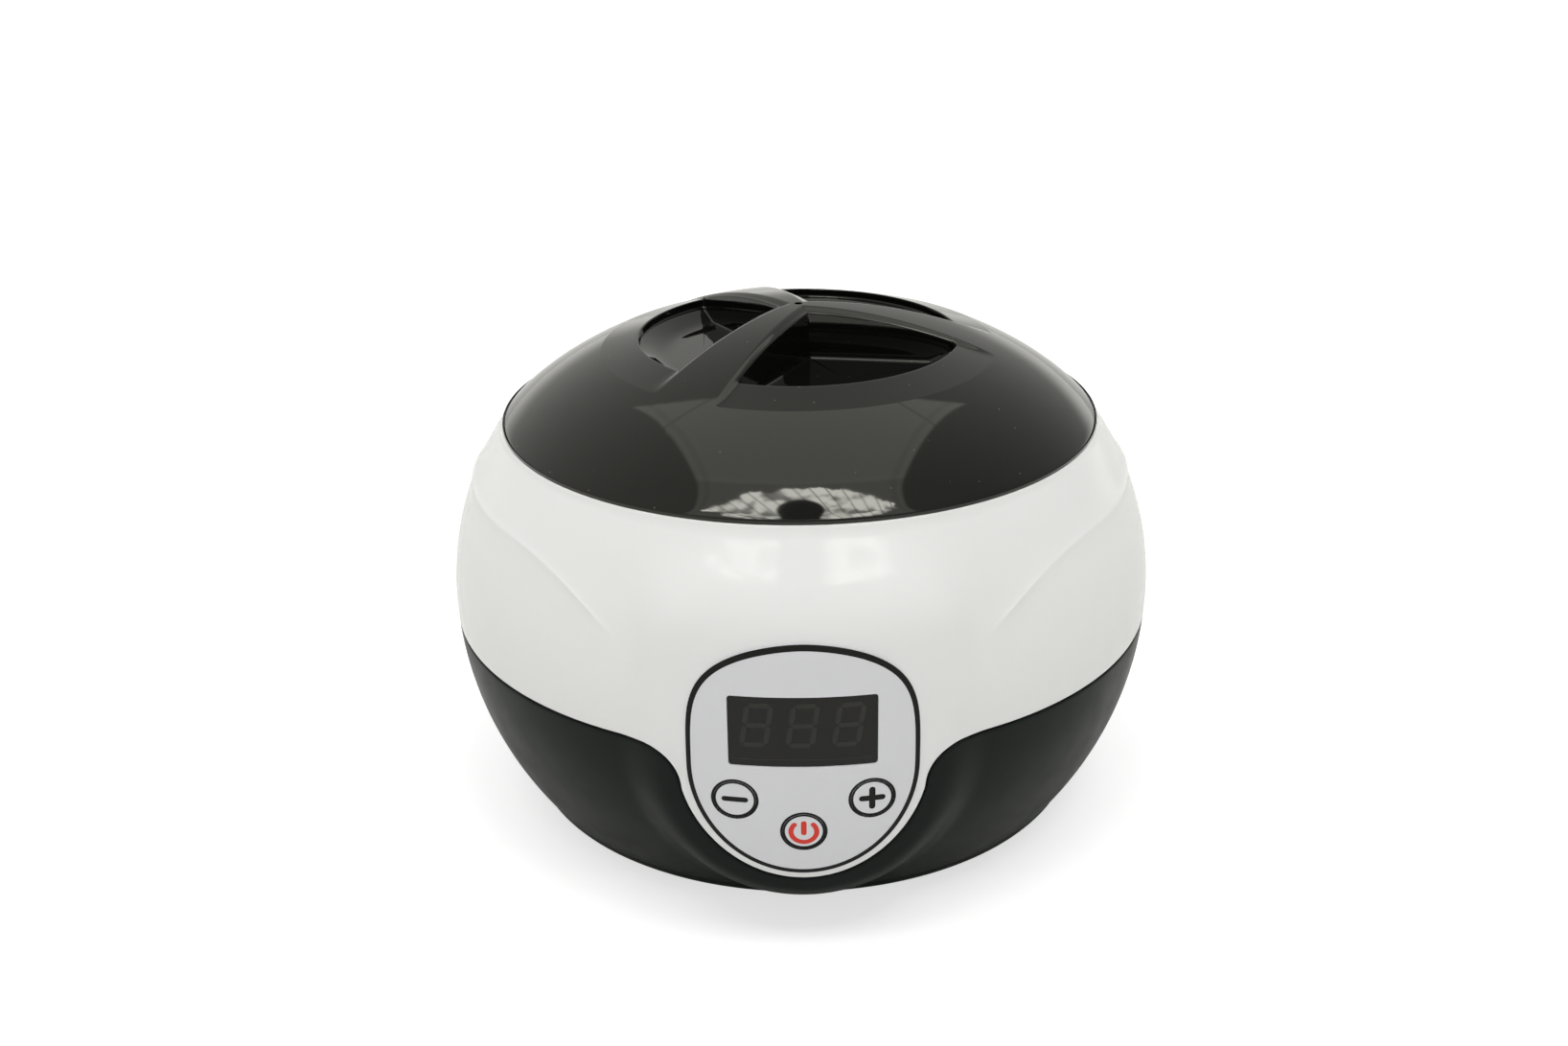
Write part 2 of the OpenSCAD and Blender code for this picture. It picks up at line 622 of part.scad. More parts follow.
// Gap between a wire's end and what it is soldered to
lead_seat = 0.3;
lead_sides = 8;
function bend(p, i, t) =
    let (a = p[max(0, i - 1)], b = p[i], c = p[min(len(p) - 1, i + 1)], d = p[min(len(p) - 1, i + 2)])
    0.5 * (2 * b + (c - a) * t + (2 * a - 5 * b + 4 * c - d) * t * t + (3 * b - a - 3 * c + d) * t * t * t);
function lead_path(p, steps) = concat([for (i = [0:len(p) - 2], k = [0:steps - 1]) bend(p, i, k / steps)],
    [p[len(p) - 1]]);
function unit(v) = v / norm(v);
module lead(points, r) {
    path = lead_path(points, 4);
    n = len(path);
    rings = [for (i = [0:n - 1])
        let (dir = unit(path[min(n - 1, i + 1)] - path[max(0, i - 1)]),
            side = unit(cross(dir, abs(dir[0]) < 0.8 ? [1, 0, 0] : [0, 1, 0])), up = cross(side, dir))
        [for (k = [0:lead_sides - 1]) path[i]
            + r * (cos(360 * k / lead_sides) * side + sin(360 * k / lead_sides) * up)]];
    polyhedron([for (q = rings) each q], concat(skin(n, lead_sides, false),
        [[for (i = [0:lead_sides - 1]) i]], [[for (i = [lead_sides - 1:-1:0]) (n - 1) * lead_sides + i]]));
}
pin_end = inlet_seat - 1.5 - inlet_deep - 2.4;
module inlet_leads() color([0.45, 0.3, 0.2]) {
    for (s = [-1, 1]) lead([[s * pin_gap / 2, pin_end - lead_seat, inlet_z],
        [s * pin_gap / 2, pin_end - 3, inlet_z - 0.5], [s * 5, pin_end - 6, inlet_z - 7],
        [s * 6, 57, 27], [s * 7, 52, 19], [s * 7, 49.5, power_top + 3], [s * 7, 49.3, power_top + lead_seat]],
        lead_r);
}
module heater_leads() color([0.85, 0.85, 0.82]) {
    start_z = band_low + 2;
    for (s = [-1, 1]) lead([[s * 12, well_out(start_z) + 0.6, start_z - 7],
        [s * 13, well_out(start_z) + 0.4, start_z - 12], [s * 17, 56, 27], [s * 25, 48.5, 21],
        [s * 27.4, 41, power_top + 3.5], [s * 27.4, 40.3, power_top + lead_seat]], lead_r);
}
ribbon_t = 0.6;
ribbon_w = 12;
// Flat strip along a smooth path in the middle plane
ribbon_back = -board_front + board_t + ribbon_t / 2 + 0.2;
ribbon_on = power_top + ribbon_t / 2 + 0.2;
ribbon_points = [[ribbon_back, 42], [ribbon_back, 36], [ribbon_back + 1.9, 26], [ribbon_back + 11.9, 15], [-48, 10], [-24, 10],
    [-8, 13], [2, power_top + 2], [8, ribbon_on], [11, ribbon_on]];
module ribbon_cable() color([0.65, 0.66, 0.68]) {
    path = lead_path(ribbon_points, 3);
    n = len(path);
    sides = [for (i = [0:n - 1]) let (d = unit(path[min(n - 1, i + 1)] - path[max(0, i - 1)]))
        [-d[1], d[0]] * ribbon_t / 2];
    translate([-ribbon_w / 2, 0, 0]) rotate([90, 0, 90]) linear_extrude(ribbon_w)
        polygon(concat([for (i = [0:n - 1]) path[i] - sides[i]],
            [for (i = [n - 1:-1:0]) path[i] + sides[i]]));
}

// Lift-out pot and its bail
pot_top = well_flange_z + well_flange_t + seat_gap;
pot_out_top = well_in_top - pot_gap;
pot_out_low = well_in_low - pot_gap;
pot_low = well_floor + well_wall + pot_gap;
pot_flange_r = well_in_top + 4.6;
module wax_pot() color(silver) rotate_extrude() polygon(concat(
    [[0, pot_low]],
    arc(pot_out_low - corner_r, pot_low + corner_r, corner_r, -90, 0),
    [[pot_out_top, pot_top], [pot_flange_r, pot_top],
     [pot_flange_r, pot_top + pot_flange_t], [pot_out_top - pot_wall, pot_top + pot_flange_t]],
    arc(pot_out_low - corner_r, pot_low + corner_r, corner_r - pot_wall, 0, -90),
    [[0, pot_low + pot_wall]]));

ear_t = 1.2;
ear_r = bail_wire_r + 2.1;
ear_foot = 16;
ear_x = pot_out_top + 1.2;
ear_low = pot_top + pot_flange_t + 0.02;
pivot_z = pot_top + pot_flange_t + pivot_h;
bail_r = ear_x - 2.6;
module pot_ears() color(silver) for (s = [-1, 1]) difference() {
    union() {
        translate([s > 0 ? ear_x : -ear_x - ear_t, -ear_r, ear_low])
            cube([ear_t, 2 * ear_r, pivot_z - ear_low]);
        translate([s > 0 ? ear_x : -ear_x - ear_t, 0, pivot_z]) rotate([0, 90, 0])
            cylinder(r = ear_r, h = ear_t);
        translate([s > 0 ? ear_x - 0.4 : -ear_x - 2.6, -ear_foot / 2, ear_low]) cube([3, ear_foot, ear_t]);
    }
    translate([s * (ear_x + ear_t / 2), 0, pivot_z]) rotate([0, 90, 0])
        cylinder(r = bail_wire_r + 0.06, h = 4, center = true);
}
module ear_rivets() color(steel) for (s = [-1, 1], y = [-6, 6])
    translate([s * (ear_x + ear_t / 2 + 0.4), y, ear_low + ear_t]) cylinder(r1 = 1.3, r2 = 0.8, h = 0.8);

module bail_wire() color(steel) union() {
    translate([0, 0, pivot_z]) rotate_extrude(angle = 180) translate([bail_r, 0]) circle(bail_wire_r);
    for (s = [-1, 1]) translate([s * bail_r, 0, pivot_z]) sphere(r = bail_wire_r);
    for (s = [-1, 1]) translate([s * bail_r, 0, pivot_z]) rotate([0, 90 * s, 0])
        cylinder(r = bail_wire_r, h = ear_x - bail_r + ear_t + 1);
}
grip_angle = 44;
module bail_grip() color([0.1, 0.1, 0.1]) translate([0, 0, pivot_z])
    rotate([0, 0, 90 - grip_angle / 2]) rotate_extrude(angle = grip_angle)
        translate([bail_r, 0]) difference() {
            circle(grip_r);
            circle(bail_wire_r + 0.05);
        }

// Domed lid: a revolved shell with three sunk fields, each with a finger pocket
lid_z = rim_z + lid_seat;
lid_r = rim_r + 0.1;
crown_share = 0.12;
crown_power = 9;
function dome(r) = lid_z + lid_h * ((1 - crown_share) * (1 - pow(r / lid_r, 2))
    + crown_share * (1 - pow(r / lid_r, crown_power)));
lip_r = collar_r - lid_play;
lip_deep = 1.6;
lip_wall = 2.2;
lip_rise = 3.3;
dome_steps = 22;
// Steps get finer towards the edge, where the dome turns down
function dome_step(k) = lid_r * sin(90 * k / dome_steps);
module dome_solid(drop) rotate_extrude() polygon(concat(
    [for (k = [0:dome_steps]) [dome_step(k), dome(dome_step(k)) - drop]],
    [[lid_r, lid_z - drop - 1], [0, lid_z - drop - 1]]));

// Half width of a rib at the middle of the lid, and how it widens outward
rib_half = 2.7;
rib_flare = 0.11;
field_half = 60 - atan(rib_flare);
field_apex = rib_half / sin(field_half);
field_steps = 6;
// The field runs level with the dome as far as the pocket, then straight out to the dome
function field(r) = r <= pocket_r ? dome(r) - field_sink
    : dome(field_r) + (dome(pocket_r) - field_sink - dome(field_r)) * (field_r - r) / (field_r - pocket_r);
field_start = field_apex / 2;
field_profile = concat([[0, field(field_start)]],
    [for (k = [0:field_steps]) let (r = field_start + (pocket_r - field_start) * k / field_steps) [r, field(r)]]);
lid_top = dome(0);
floor_top = lid_top - pocket_floor_drop;
// Angle between a pocket's flank and its middle line, and the draft of its walls
pocket_spread = 55;
pocket_draft = 5;
ramp_r = pocket_r - 6;
ramp_top = floor_top + 2.7;
// Upright rest of the ramp's end, inside the pocket's outer edge
ramp_end = 0.3;
wall_in = 2;
vent_r = 1;
module pockets() for (k = [0:2]) rotate([0, 0, -60 + lid_turn + 120 * k]) children();
// Room beside a flank that runs off at an angle from a corner on the x axis, given at the
// height z, and leans back by the draft
module flank_room(apex, z, half, draft) {
    reach = 2 * lid_r;
    translate([apex, 0, z]) rotate([-draft, 0, half])
        translate([-reach, -reach, -reach]) cube([2 * reach, reach, 2 * reach]);
}
module wedge_room(apex, z, half, draft) intersection() {
    flank_room(apex, z, half, draft);
    mirror([0, 1, 0]) flank_room(apex, z, half, draft);
}
module field_cut() intersection() {
    wedge_room(field_apex, lid_top, field_half, 0);
    rotate_extrude() polygon(concat(field_profile,
        [[field_r, dome(field_r)], [field_r, lid_top + 1], [0, lid_top + 1]]));
}
// Keeps the shell's wall under a sunk field
module field_floor() intersection() {
    wedge_room(field_apex - wall_in / sin(field_half), lid_top, field_half, 0);
    rotate_extrude() polygon(concat([for (p = field_profile) p - [0, lid_wall]],
        [[field_r + lid_wall, field(field_r + lid_wall) - lid_wall], [field_r + lid_wall, lid_top],
         [0, lid_top]]));
}
module pocket_cut() intersection() {
    wedge_room(pocket_apex, lid_top, pocket_spread, pocket_draft);
    rotate_extrude() polygon([[0, floor_top], [ramp_r, floor_top], [pocket_r - ramp_end, ramp_top],
        [pocket_r, ramp_top], [pocket_r, lid_top + 1], [0, lid_top + 1]]);
}
module pocket_wall() intersection() {
    wedge_room(pocket_apex - wall_in / sin(pocket_spread), lid_top, pocket_spread, pocket_draft);
    rotate_extrude() polygon([[0, floor_top - wall_in], [ramp_r + 0.8, floor_top - wall_in],
        [pocket_r + wall_in, ramp_top - wall_in], [pocket_r + wall_in, lid_top], [0, lid_top]]);
}
module lid() color(gloss_black) difference() {
    union() {
        intersection() {
            dome_solid(0);
            union() {
                difference() {
                    translate([0, 0, lid_z]) cylinder(r = lid_r + 1, h = lid_h + 2);
                    dome_solid(lid_wall);
                    translate([0, 0, lid_z - 1]) cylinder(r = lip_r - lip_wall, h = lid_wall + 1);
                }
                pockets() field_floor();
                pockets() pocket_wall();
            }
        }
        translate([0, 0, lid_z - lip_deep]) tube(lip_r, lip_r - lip_wall, lip_deep + lip_rise);
    }
    pockets() field_cut();
    pockets() pocket_cut();
    cylinder(r = vent_r, h = 2 * rim_z);
}

upper_housing();
lower_housing();
rubber_feet();
housing_screws();
control_overlay();
display_window();
display_board();
led_display();
tact_switches();
display_screws();
ribbon_cable();
key_minus();
key_plus();
key_power();
plunger_minus();
plunger_plus();
plunger_power();
heating_well();
well_gasket();
well_screws();
heater_band();
insulation_wrap();
sensor_clip();
temperature_sensor();
thermal_fuse();
clip_screws();
power_board();
transformer();
relay();
capacitor();
board_fuse();
board_screws();
mains_inlet();
inlet_pins();
inlet_leads();
heater_leads();
wax_pot();
pot_ears();
ear_rivets();
bail_wire();
bail_grip();
lid();
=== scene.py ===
"""Looks of a table-top wax warmer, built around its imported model.

Sizes are in millimetres and angles in degrees until a mesh is written, in metres.
The housing's and the lid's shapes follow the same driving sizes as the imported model.
"""

import json
import math

import bmesh
import bpy
import numpy as np
from mathutils import Matrix, Vector
from mathutils.geometry import delaunay_2d_cdt


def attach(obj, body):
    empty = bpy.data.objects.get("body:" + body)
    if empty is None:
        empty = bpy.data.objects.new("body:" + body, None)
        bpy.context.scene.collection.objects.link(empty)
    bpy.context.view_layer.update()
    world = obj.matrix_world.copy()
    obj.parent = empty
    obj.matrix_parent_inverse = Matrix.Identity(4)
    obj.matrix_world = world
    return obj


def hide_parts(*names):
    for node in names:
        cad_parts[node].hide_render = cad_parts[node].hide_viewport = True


MM = 0.001

# Housing
BELLY_R, BELLY_Z, RIM_R, KEEL_H = 90.0, 58.0, 74.8, 88.0
RIM_Z, SEAM_Z, BASE_Z, WALL = 102.5, 53.8, 4.0, 2.5
CROWN_H = (RIM_Z - BELLY_Z) / math.sqrt(1 - (RIM_R / BELLY_R) ** 2)
RIM_W, RIM_EDGE, DECK_DROP, DECK_T, DECK_W = 3.4, 0.9, 5.5, 2.5, 8.0
COLLAR_EDGE, COLLAR_FOOT, HOLE_EDGE, ROUND_MIDDLE = 0.5, 1.0, 0.2, 0.3
COLLAR_R = RIM_R - RIM_W
HOLE_R = COLLAR_R - DECK_W
DECK_Z = RIM_Z - DECK_DROP
FOOT_H, FOOT_IN, FOOT_FLAT = 3.0, 4.4, 1.5
# Parting line: its gap and edges, the lap inside it and where the plain walls begin
SEAM_GAP, SEAM_EDGE, LAP_H, LAP_ROOM_H, LAP_PLAY = 0.45, 0.35, 1.6, 1.9, 0.2
LAP_DEEP, UPPER_START, LOWER_START = WALL / 2, 1.2, 1.0
# Line round the shoulder, which dips to the panel and ends beside it
SHOULDER_Z, SHOULDER_H, SHOULDER_REACH, SHOULDER_DIP = 89.5, 0.5, 7.0, 10.6
DIP_START, DIP_SPAN, DIP_END, DIP_FADE, DIP_POWER = 58.0, 27.5, 27.0, 6.0, 2.5
CREST_H, CREST_UP, CREST_DOWN, CREST_POWER = 0.22, 1.0, 2.2, 1.5
CREST_ROWS = (-1.6, -1.1, -0.7, -0.35, 0, 0.2, 0.4, 0.65, CREST_UP)
# Nose and panel
NOSE_FRONT, FACE_R, FACE_BOW_R, FACE_Z, NOSE_SIDE = 92.0, 88.0, 220.0, 56.0, 75.0
PANEL_Z, PANEL_W, PANEL_TOP, PANEL_BOTTOM, PANEL_MARGIN = 51.5, 51.6, 29.4, 28.6, 2.1
NOSE_CROWN, NOSE_POWER, NOSE_RIM, NOSE_FOOT, RIM_FADE, BASE_FADE = 1.3, 3, 1.1, 1.52, 22.0, 9.0
MARGIN_A = PANEL_W / 2 + PANEL_MARGIN
MARGIN_TOP = PANEL_TOP + PANEL_MARGIN
MARGIN_BOTTOM = PANEL_BOTTOM + PANEL_MARGIN
BEND_W, TURN_SHARE = 9.0, 0.968
TURN_X = MARGIN_A * TURN_SHARE
TURN_Z = PANEL_Z - MARGIN_BOTTOM * math.sqrt(1 - TURN_SHARE**2)
ARCH_TOP, ARCH_POWER, SIDE_POWER = 30.3, 1.85, 4.1
OVERLAY_LIFT, OVERLAY_T, OVERLAY_EDGE = 0.15, 0.45, 0.12
FILM_TOP = OVERLAY_LIFT + OVERLAY_T
PRINT_T, PRINT_SINK = 0.02, 0.05
BORDER_INSET, BORDER_SIDE, BORDER_TOP = 0.08, 1.12, 1.6
WINDOW_W, WINDOW_H, WINDOW_Z, WINDOW_ROUND = 32.8, 17.2, 60.8, 0.8
LENS_LOW, LENS_TOP, LENS_PLAY, LENS_EDGE = 0.05, 0.32, 0.05, 0.08
DIGIT_W, DIGIT_H, DIGIT_PITCH, DIGIT_UP, DIGIT_LOW = 5.2, 9.6, 10.1, 1.6, 0.3
SEGMENT_T, SEGMENT_GAP, SLANT = 1.15, 0.25, 0.14
# Pale line across the window near its bottom: its height, side inset, thickness and rounding
LINE_UP, LINE_SIDE, LINE_T, LINE_ROUND = 1.75, 0.7, 0.22, 0.1
# Keys, and the signs printed on them
KEY_X, KEY_Z, POWER_Z, KEY_D, KEY_PLAY = 15.2, 43.2, 35.0, 9.4, 0.2
KEY_SINK, STEM_BORE, CAP_T, CAP_EDGE, CAP_GRID = 0.5, 2.5, 0.5, 0.03, 1.6
KEYS = {"minus": (-KEY_X, KEY_Z), "plus": (KEY_X, KEY_Z), "power": (0.0, POWER_Z)}
WELL_R = KEY_D / 2 + KEY_PLAY
# Rings printed round each key, and the black ring of painted shade in the gap round each key
RING_OUT, RING_IN, RING_INSET, GAP_SHADE_R, GAP_SHADE_SINK = 5.3, 4.22, 0.01, 4.78, 0.02
BAR_L, BAR_T, BAR_ROUND, CROSS_T = 5.9, 1.3, 0.63, 1.404
ARC_R, ARC_T, ARC_GAP, ARC_DROP = 3.45, 1.15, 47, 0.1
POWER_BAR_W, POWER_BAR_H, POWER_BAR_UP, POWER_BAR_ROUND = 1.25, 3.9, 0.9, 0.6
# Openings in the lower housing
BOSS_REACH, RECESS_R, RECESS_DEEP = 3.9, 3.4, 10.0
BOSS_R, BOSS_BORE, BOSS_TOP, BOSS_SINK, BOSS_SIDES = 4.4, 1.8, 26.0, 0.2, 40
INLET_W, INLET_H, INLET_Z, INLET_SINK, INLET_PLAY = 24.0, 13.6, 43.5, 1.9, 0.2
SLOT_W, SLOT_L, SLOT_Y, SLOT_PITCH, SLOTS = 3.0, 24.0, -20.0, 8.0, 7
CUT_OVER, INLET_CUT = 1.0, 20.0
# Lid
LID_H, LID_WALL, LID_SEAT, LID_PLAY, LID_OVER = 27.2, 2.4, 0.3, 0.5, 0.1
DOME_FLAT, DOME_POWER, POCKET_DROP, LID_TURN = 0.12, 9, 12.5, -2.8
LIP_DEEP, LIP_WALL, LIP_EDGE, LIP_ROUND, VENT_R, BRIM_W = 1.6, 2.2, 0.4, 0.3, 1.0, 0.7
# Lid's edge, inwards from its radius: down from the dome, then up from the seat
BRIM_TOP, BRIM_FOOT = ((0.3, 0.5), (0.06, 1.1)), ((0, 0.45), (0.1, 0.12), (0.4, 0))
POCKET_R, POCKET_APEX, POCKET_SPREAD, POCKET_DRAFT, POCKET_WALL = 40.0, 5.1, 55.0, 5.0, 2.0
FIELD_R, FIELD_SINK, FIELD_CREASE = 49.5, 0.85, 0.2
RIB_HALF, RIB_FLARE, SLOPE_W = 1.2, 0.135, 2.4
RAMP_W, RAMP_RISE, RAMP_END = 6.0, 2.7, 0.3
RIM_FILLET, FOOT_FILLET = 0.4, 0.5
# Rounding of an outline's corner by the hub and of its far corners
POCKET_ROUND, FIELD_ROUND, UNDER_ROUND, THIRD_ROUND = (0.8, 1.3), (1.2, 2.2), (1.5, 2.5), 1.5
LID_Z = RIM_Z + LID_SEAT
LID_R = RIM_R + LID_OVER
LIP_R = COLLAR_R - LID_PLAY


def clamp01(t):
    return np.clip(t, 0.0, 1.0)


def ease(t):
    return (1 - np.cos(np.pi * clamp01(t))) / 2


def body_r(z):
    """Radius of the housing without its nose."""
    half = np.where(z > BELLY_Z, CROWN_H, KEEL_H)
    return BELLY_R * np.sqrt(np.maximum(1 - ((z - BELLY_Z) / half) ** 2, 0))


def face_centre(z):
    return NOSE_FRONT - FACE_R - (z - FACE_Z) ** 2 / (2 * FACE_BOW_R)


def face_y(x, z):
    """Distance of the nose's face in front of the axis, at a width and a height."""
    return face_centre(z) + np.sqrt(FACE_R**2 - x**2)


def face_at(a, z):
    """The same distance along a ray from the axis, at an angle from the front."""
    c = face_centre(z)
    return c * np.cos(a) + np.sqrt(FACE_R**2 - (c * np.sin(a)) ** 2)


def nose_reach(x, z):
    """Distance from the panel's centre, 1 on the outline of its margin."""
    below = np.sqrt((x / MARGIN_A) ** 2 + ((PANEL_Z - z) / MARGIN_BOTTOM) ** 2)
    up = np.maximum(z - PANEL_Z, 0) / (MARGIN_TOP * NOSE_CROWN)
    above = (np.abs(x / MARGIN_A) ** NOSE_POWER + up**NOSE_POWER) ** (1 / NOSE_POWER)
    return np.where(z < PANEL_Z, below, above)


def nose_share(a, z):
    """1 on the nose's face, 0 on the round housing."""
    reach = nose_reach(body_r(z) * np.sin(a), z)
    share = 1 - ease((reach - NOSE_RIM) / (NOSE_FOOT - NOSE_RIM))
    fade = ease((RIM_Z - z) / RIM_FADE) * ease((z - BASE_Z) / BASE_FADE)
    return np.where(np.abs(a) > np.radians(NOSE_SIDE), 0, share * fade)


def shoulder_line(a):
    """Height of the soft line that runs round under the rim and dips to the panel."""
    turn = np.maximum(np.abs(np.degrees(a)), DIP_END)
    return SHOULDER_Z - SHOULDER_DIP * (np.maximum(DIP_START - turn, 0) / DIP_SPAN) ** DIP_POWER


def shoulder_rise(a, z):
    """Soft ridge along the shoulder's line, with a fine crest on it."""
    share = ease((np.abs(np.degrees(a)) - DIP_END) / DIP_FADE)
    off = z - shoulder_line(a)
    crest = CREST_H * clamp01(1 - np.maximum(off / CREST_UP, -off / CREST_DOWN)) ** CREST_POWER
    return share * (SHOULDER_H * clamp01(1 - np.abs(off) / SHOULDER_REACH) ** 2 + crest)


def shell_r(a, z):
    """Outside of the housing at an angle from the front and a height."""
    r = body_r(z)
    return r + shoulder_rise(a, z) + nose_share(a, z) * np.maximum(0, face_at(a, z) - r)


def seam_at(a):
    """Height of the parting line: level, then down an S and round under the panel."""
    x = np.where(np.abs(a) > np.radians(NOSE_SIDE), BELLY_R, np.abs(BELLY_R * np.sin(a)))
    under = PANEL_Z - MARGIN_BOTTOM * np.sqrt(np.maximum(1 - (x / MARGIN_A) ** 2, 0))
    bend = clamp01((x - TURN_X) / BEND_W)
    turn = TURN_Z + (SEAM_Z - TURN_Z) * np.sqrt(1 - (1 - bend) ** 2)
    return np.where(x <= TURN_X, under, turn)


def dome(r):
    """Top of the lid without its pockets."""
    u = r / LID_R
    return LID_Z + LID_H * ((1 - DOME_FLAT) * (1 - u**2) + DOME_FLAT * (1 - u**DOME_POWER))


def field_z(r):
    """The sunk field: level with the dome as far as the pocket, then straight out to the dome."""
    start, end = dome(POCKET_R) - FIELD_SINK, dome(FIELD_R)
    out = end + (start - end) * (FIELD_R - r) / (FIELD_R - POCKET_R)
    return np.where(r <= POCKET_R, dome(r) - FIELD_SINK, out)


def radius(xy):
    return np.hypot(xy[:, 0], xy[:, 1])


def lid_top(xy):
    """Top of one third of the lid, whose pocket lies along +x: ribs, their slopes and the field."""
    r = radius(xy)
    from_rib = np.abs(xy[:, 0] * math.sqrt(3) / 2 - np.abs(xy[:, 1]) / 2)
    share = ease((from_rib - RIB_HALF - RIB_FLARE * r) / SLOPE_W)
    return np.where(r < FIELD_R, dome(r) + (field_z(r) - dome(r)) * share, dome(r))


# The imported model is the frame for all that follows
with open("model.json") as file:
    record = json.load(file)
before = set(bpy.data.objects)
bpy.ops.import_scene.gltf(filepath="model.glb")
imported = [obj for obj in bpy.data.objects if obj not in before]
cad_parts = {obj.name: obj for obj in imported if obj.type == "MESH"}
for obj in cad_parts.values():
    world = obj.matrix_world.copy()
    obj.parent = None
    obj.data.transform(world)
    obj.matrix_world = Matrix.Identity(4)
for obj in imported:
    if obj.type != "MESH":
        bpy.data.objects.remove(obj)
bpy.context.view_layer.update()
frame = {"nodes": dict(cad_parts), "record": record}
slots = {part["node"]: part["material_slot"] for part in frame["record"]["subparts"]}


# Camera: the photograph's view
PHOTO_W = 1636
FOCAL_PX = 1850.0
SENSOR_MM = 36.0
CAMERA_MM = (0.0, -427.2, 256.1)
CAMERA_DOWN = 24.8
CAMERA_ROLL = -0.6
SHIFT_PX = (17.8, 42.5)
CLIP_M = (0.02, 20)


def add_camera():
    data = bpy.data.cameras.new("camera")
    data.sensor_width = SENSOR_MM
    data.lens = SENSOR_MM * FOCAL_PX / PHOTO_W
    data.shift_x = -SHIFT_PX[0] / PHOTO_W
    data.shift_y = SHIFT_PX[1] / PHOTO_W
    data.clip_start, data.clip_end = CLIP_M
    camera = bpy.data.objects.new("camera", data)
    tilt = Matrix.Rotation(math.radians(90 - CAMERA_DOWN), 4, "X")
    roll = Matrix.Rotation(math.radians(CAMERA_ROLL), 4, "Z")
    camera.matrix_world = Matrix.Translation(Vector(CAMERA_MM) * MM) @ tilt @ roll
    bpy.context.scene.collection.objects.link(camera)
    bpy.context.scene.camera = camera


# Shader values
def feed(entry, value):
    """Sets a node's input, or links a shader value or a socket to it."""
    value = getattr(value, "socket", value)
    if isinstance(value, bpy.types.NodeSocket):
        entry.id_data.links.new(value, entry)
    else:
        entry.default_value = value


def add_node(tree, kind, inputs=()):
    node = tree.nodes.new("ShaderNode" + kind)
    for name, value in dict(inputs).items():
        feed(node.inputs[name], value)
    return node


class Value:
    """A shader value that is reckoned with like a number."""

    def __init__(self, socket):
        self.socket, self.tree = socket, socket.id_data

    def calc(self, operation, other=0.0, other_first=False):
        node = add_node(self.tree, "Math")
        node.operation = operation
        for entry, value in zip(node.inputs, (other, self) if other_first else (self, other)):
            feed(entry, value)
        return Value(node.outputs["Value"])

    def __add__(self, other):
        return self.calc("ADD", other)

    def __sub__(self, other):
        return self.calc("SUBTRACT", other)

    def __rsub__(self, other):
        return self.calc("SUBTRACT", other, True)

    def __mul__(self, other):
        return self.calc("MULTIPLY", other)

    def __truediv__(self, other):
        return self.calc("DIVIDE", other)

    def __abs__(self):
        return self.calc("ABSOLUTE")

    def fade(self, start, end, low=0.0, high=1.0, course="SMOOTHSTEP"):
        """Goes from low, where the value is at start, to high, where it is at end."""
        node = add_node(self.tree, "MapRange", {"Value": self, "From Min": start, "From Max": end,
                                                "To Min": low, "To Max": high})
        node.interpolation_type = course
        return Value(node.outputs["Result"])

    def spread(self, low, high, start=0.3, end=0.7):
        """Maps the usual range of a noise evenly to another range."""
        return self.fade(start, end, low, high, "LINEAR")

    def tint(self, low, high):
        """Colour socket between two colours, for a value from 0 to 1."""
        node = add_node(self.tree, "Mix")
        node.data_type = "RGBA"
        for name, colour in (("A", low), ("B", high), ("Factor", self)):
            feed(node.inputs[name], (*colour, 1) if isinstance(colour, tuple) else colour)
        return node.outputs["Result"]


def noise(tree, scale, detail, stretch=(1, 1, 1)):
    """Object-space noise, whose three axes may be stretched."""
    where = add_node(tree, "TexCoord").outputs["Object"]
    moved = add_node(tree, "Mapping", {"Vector": where, "Scale": stretch}).outputs["Vector"]
    texture = add_node(tree, "TexNoise", {"Vector": moved, "Scale": scale, "Detail": detail})
    return Value(texture.outputs["Fac"])


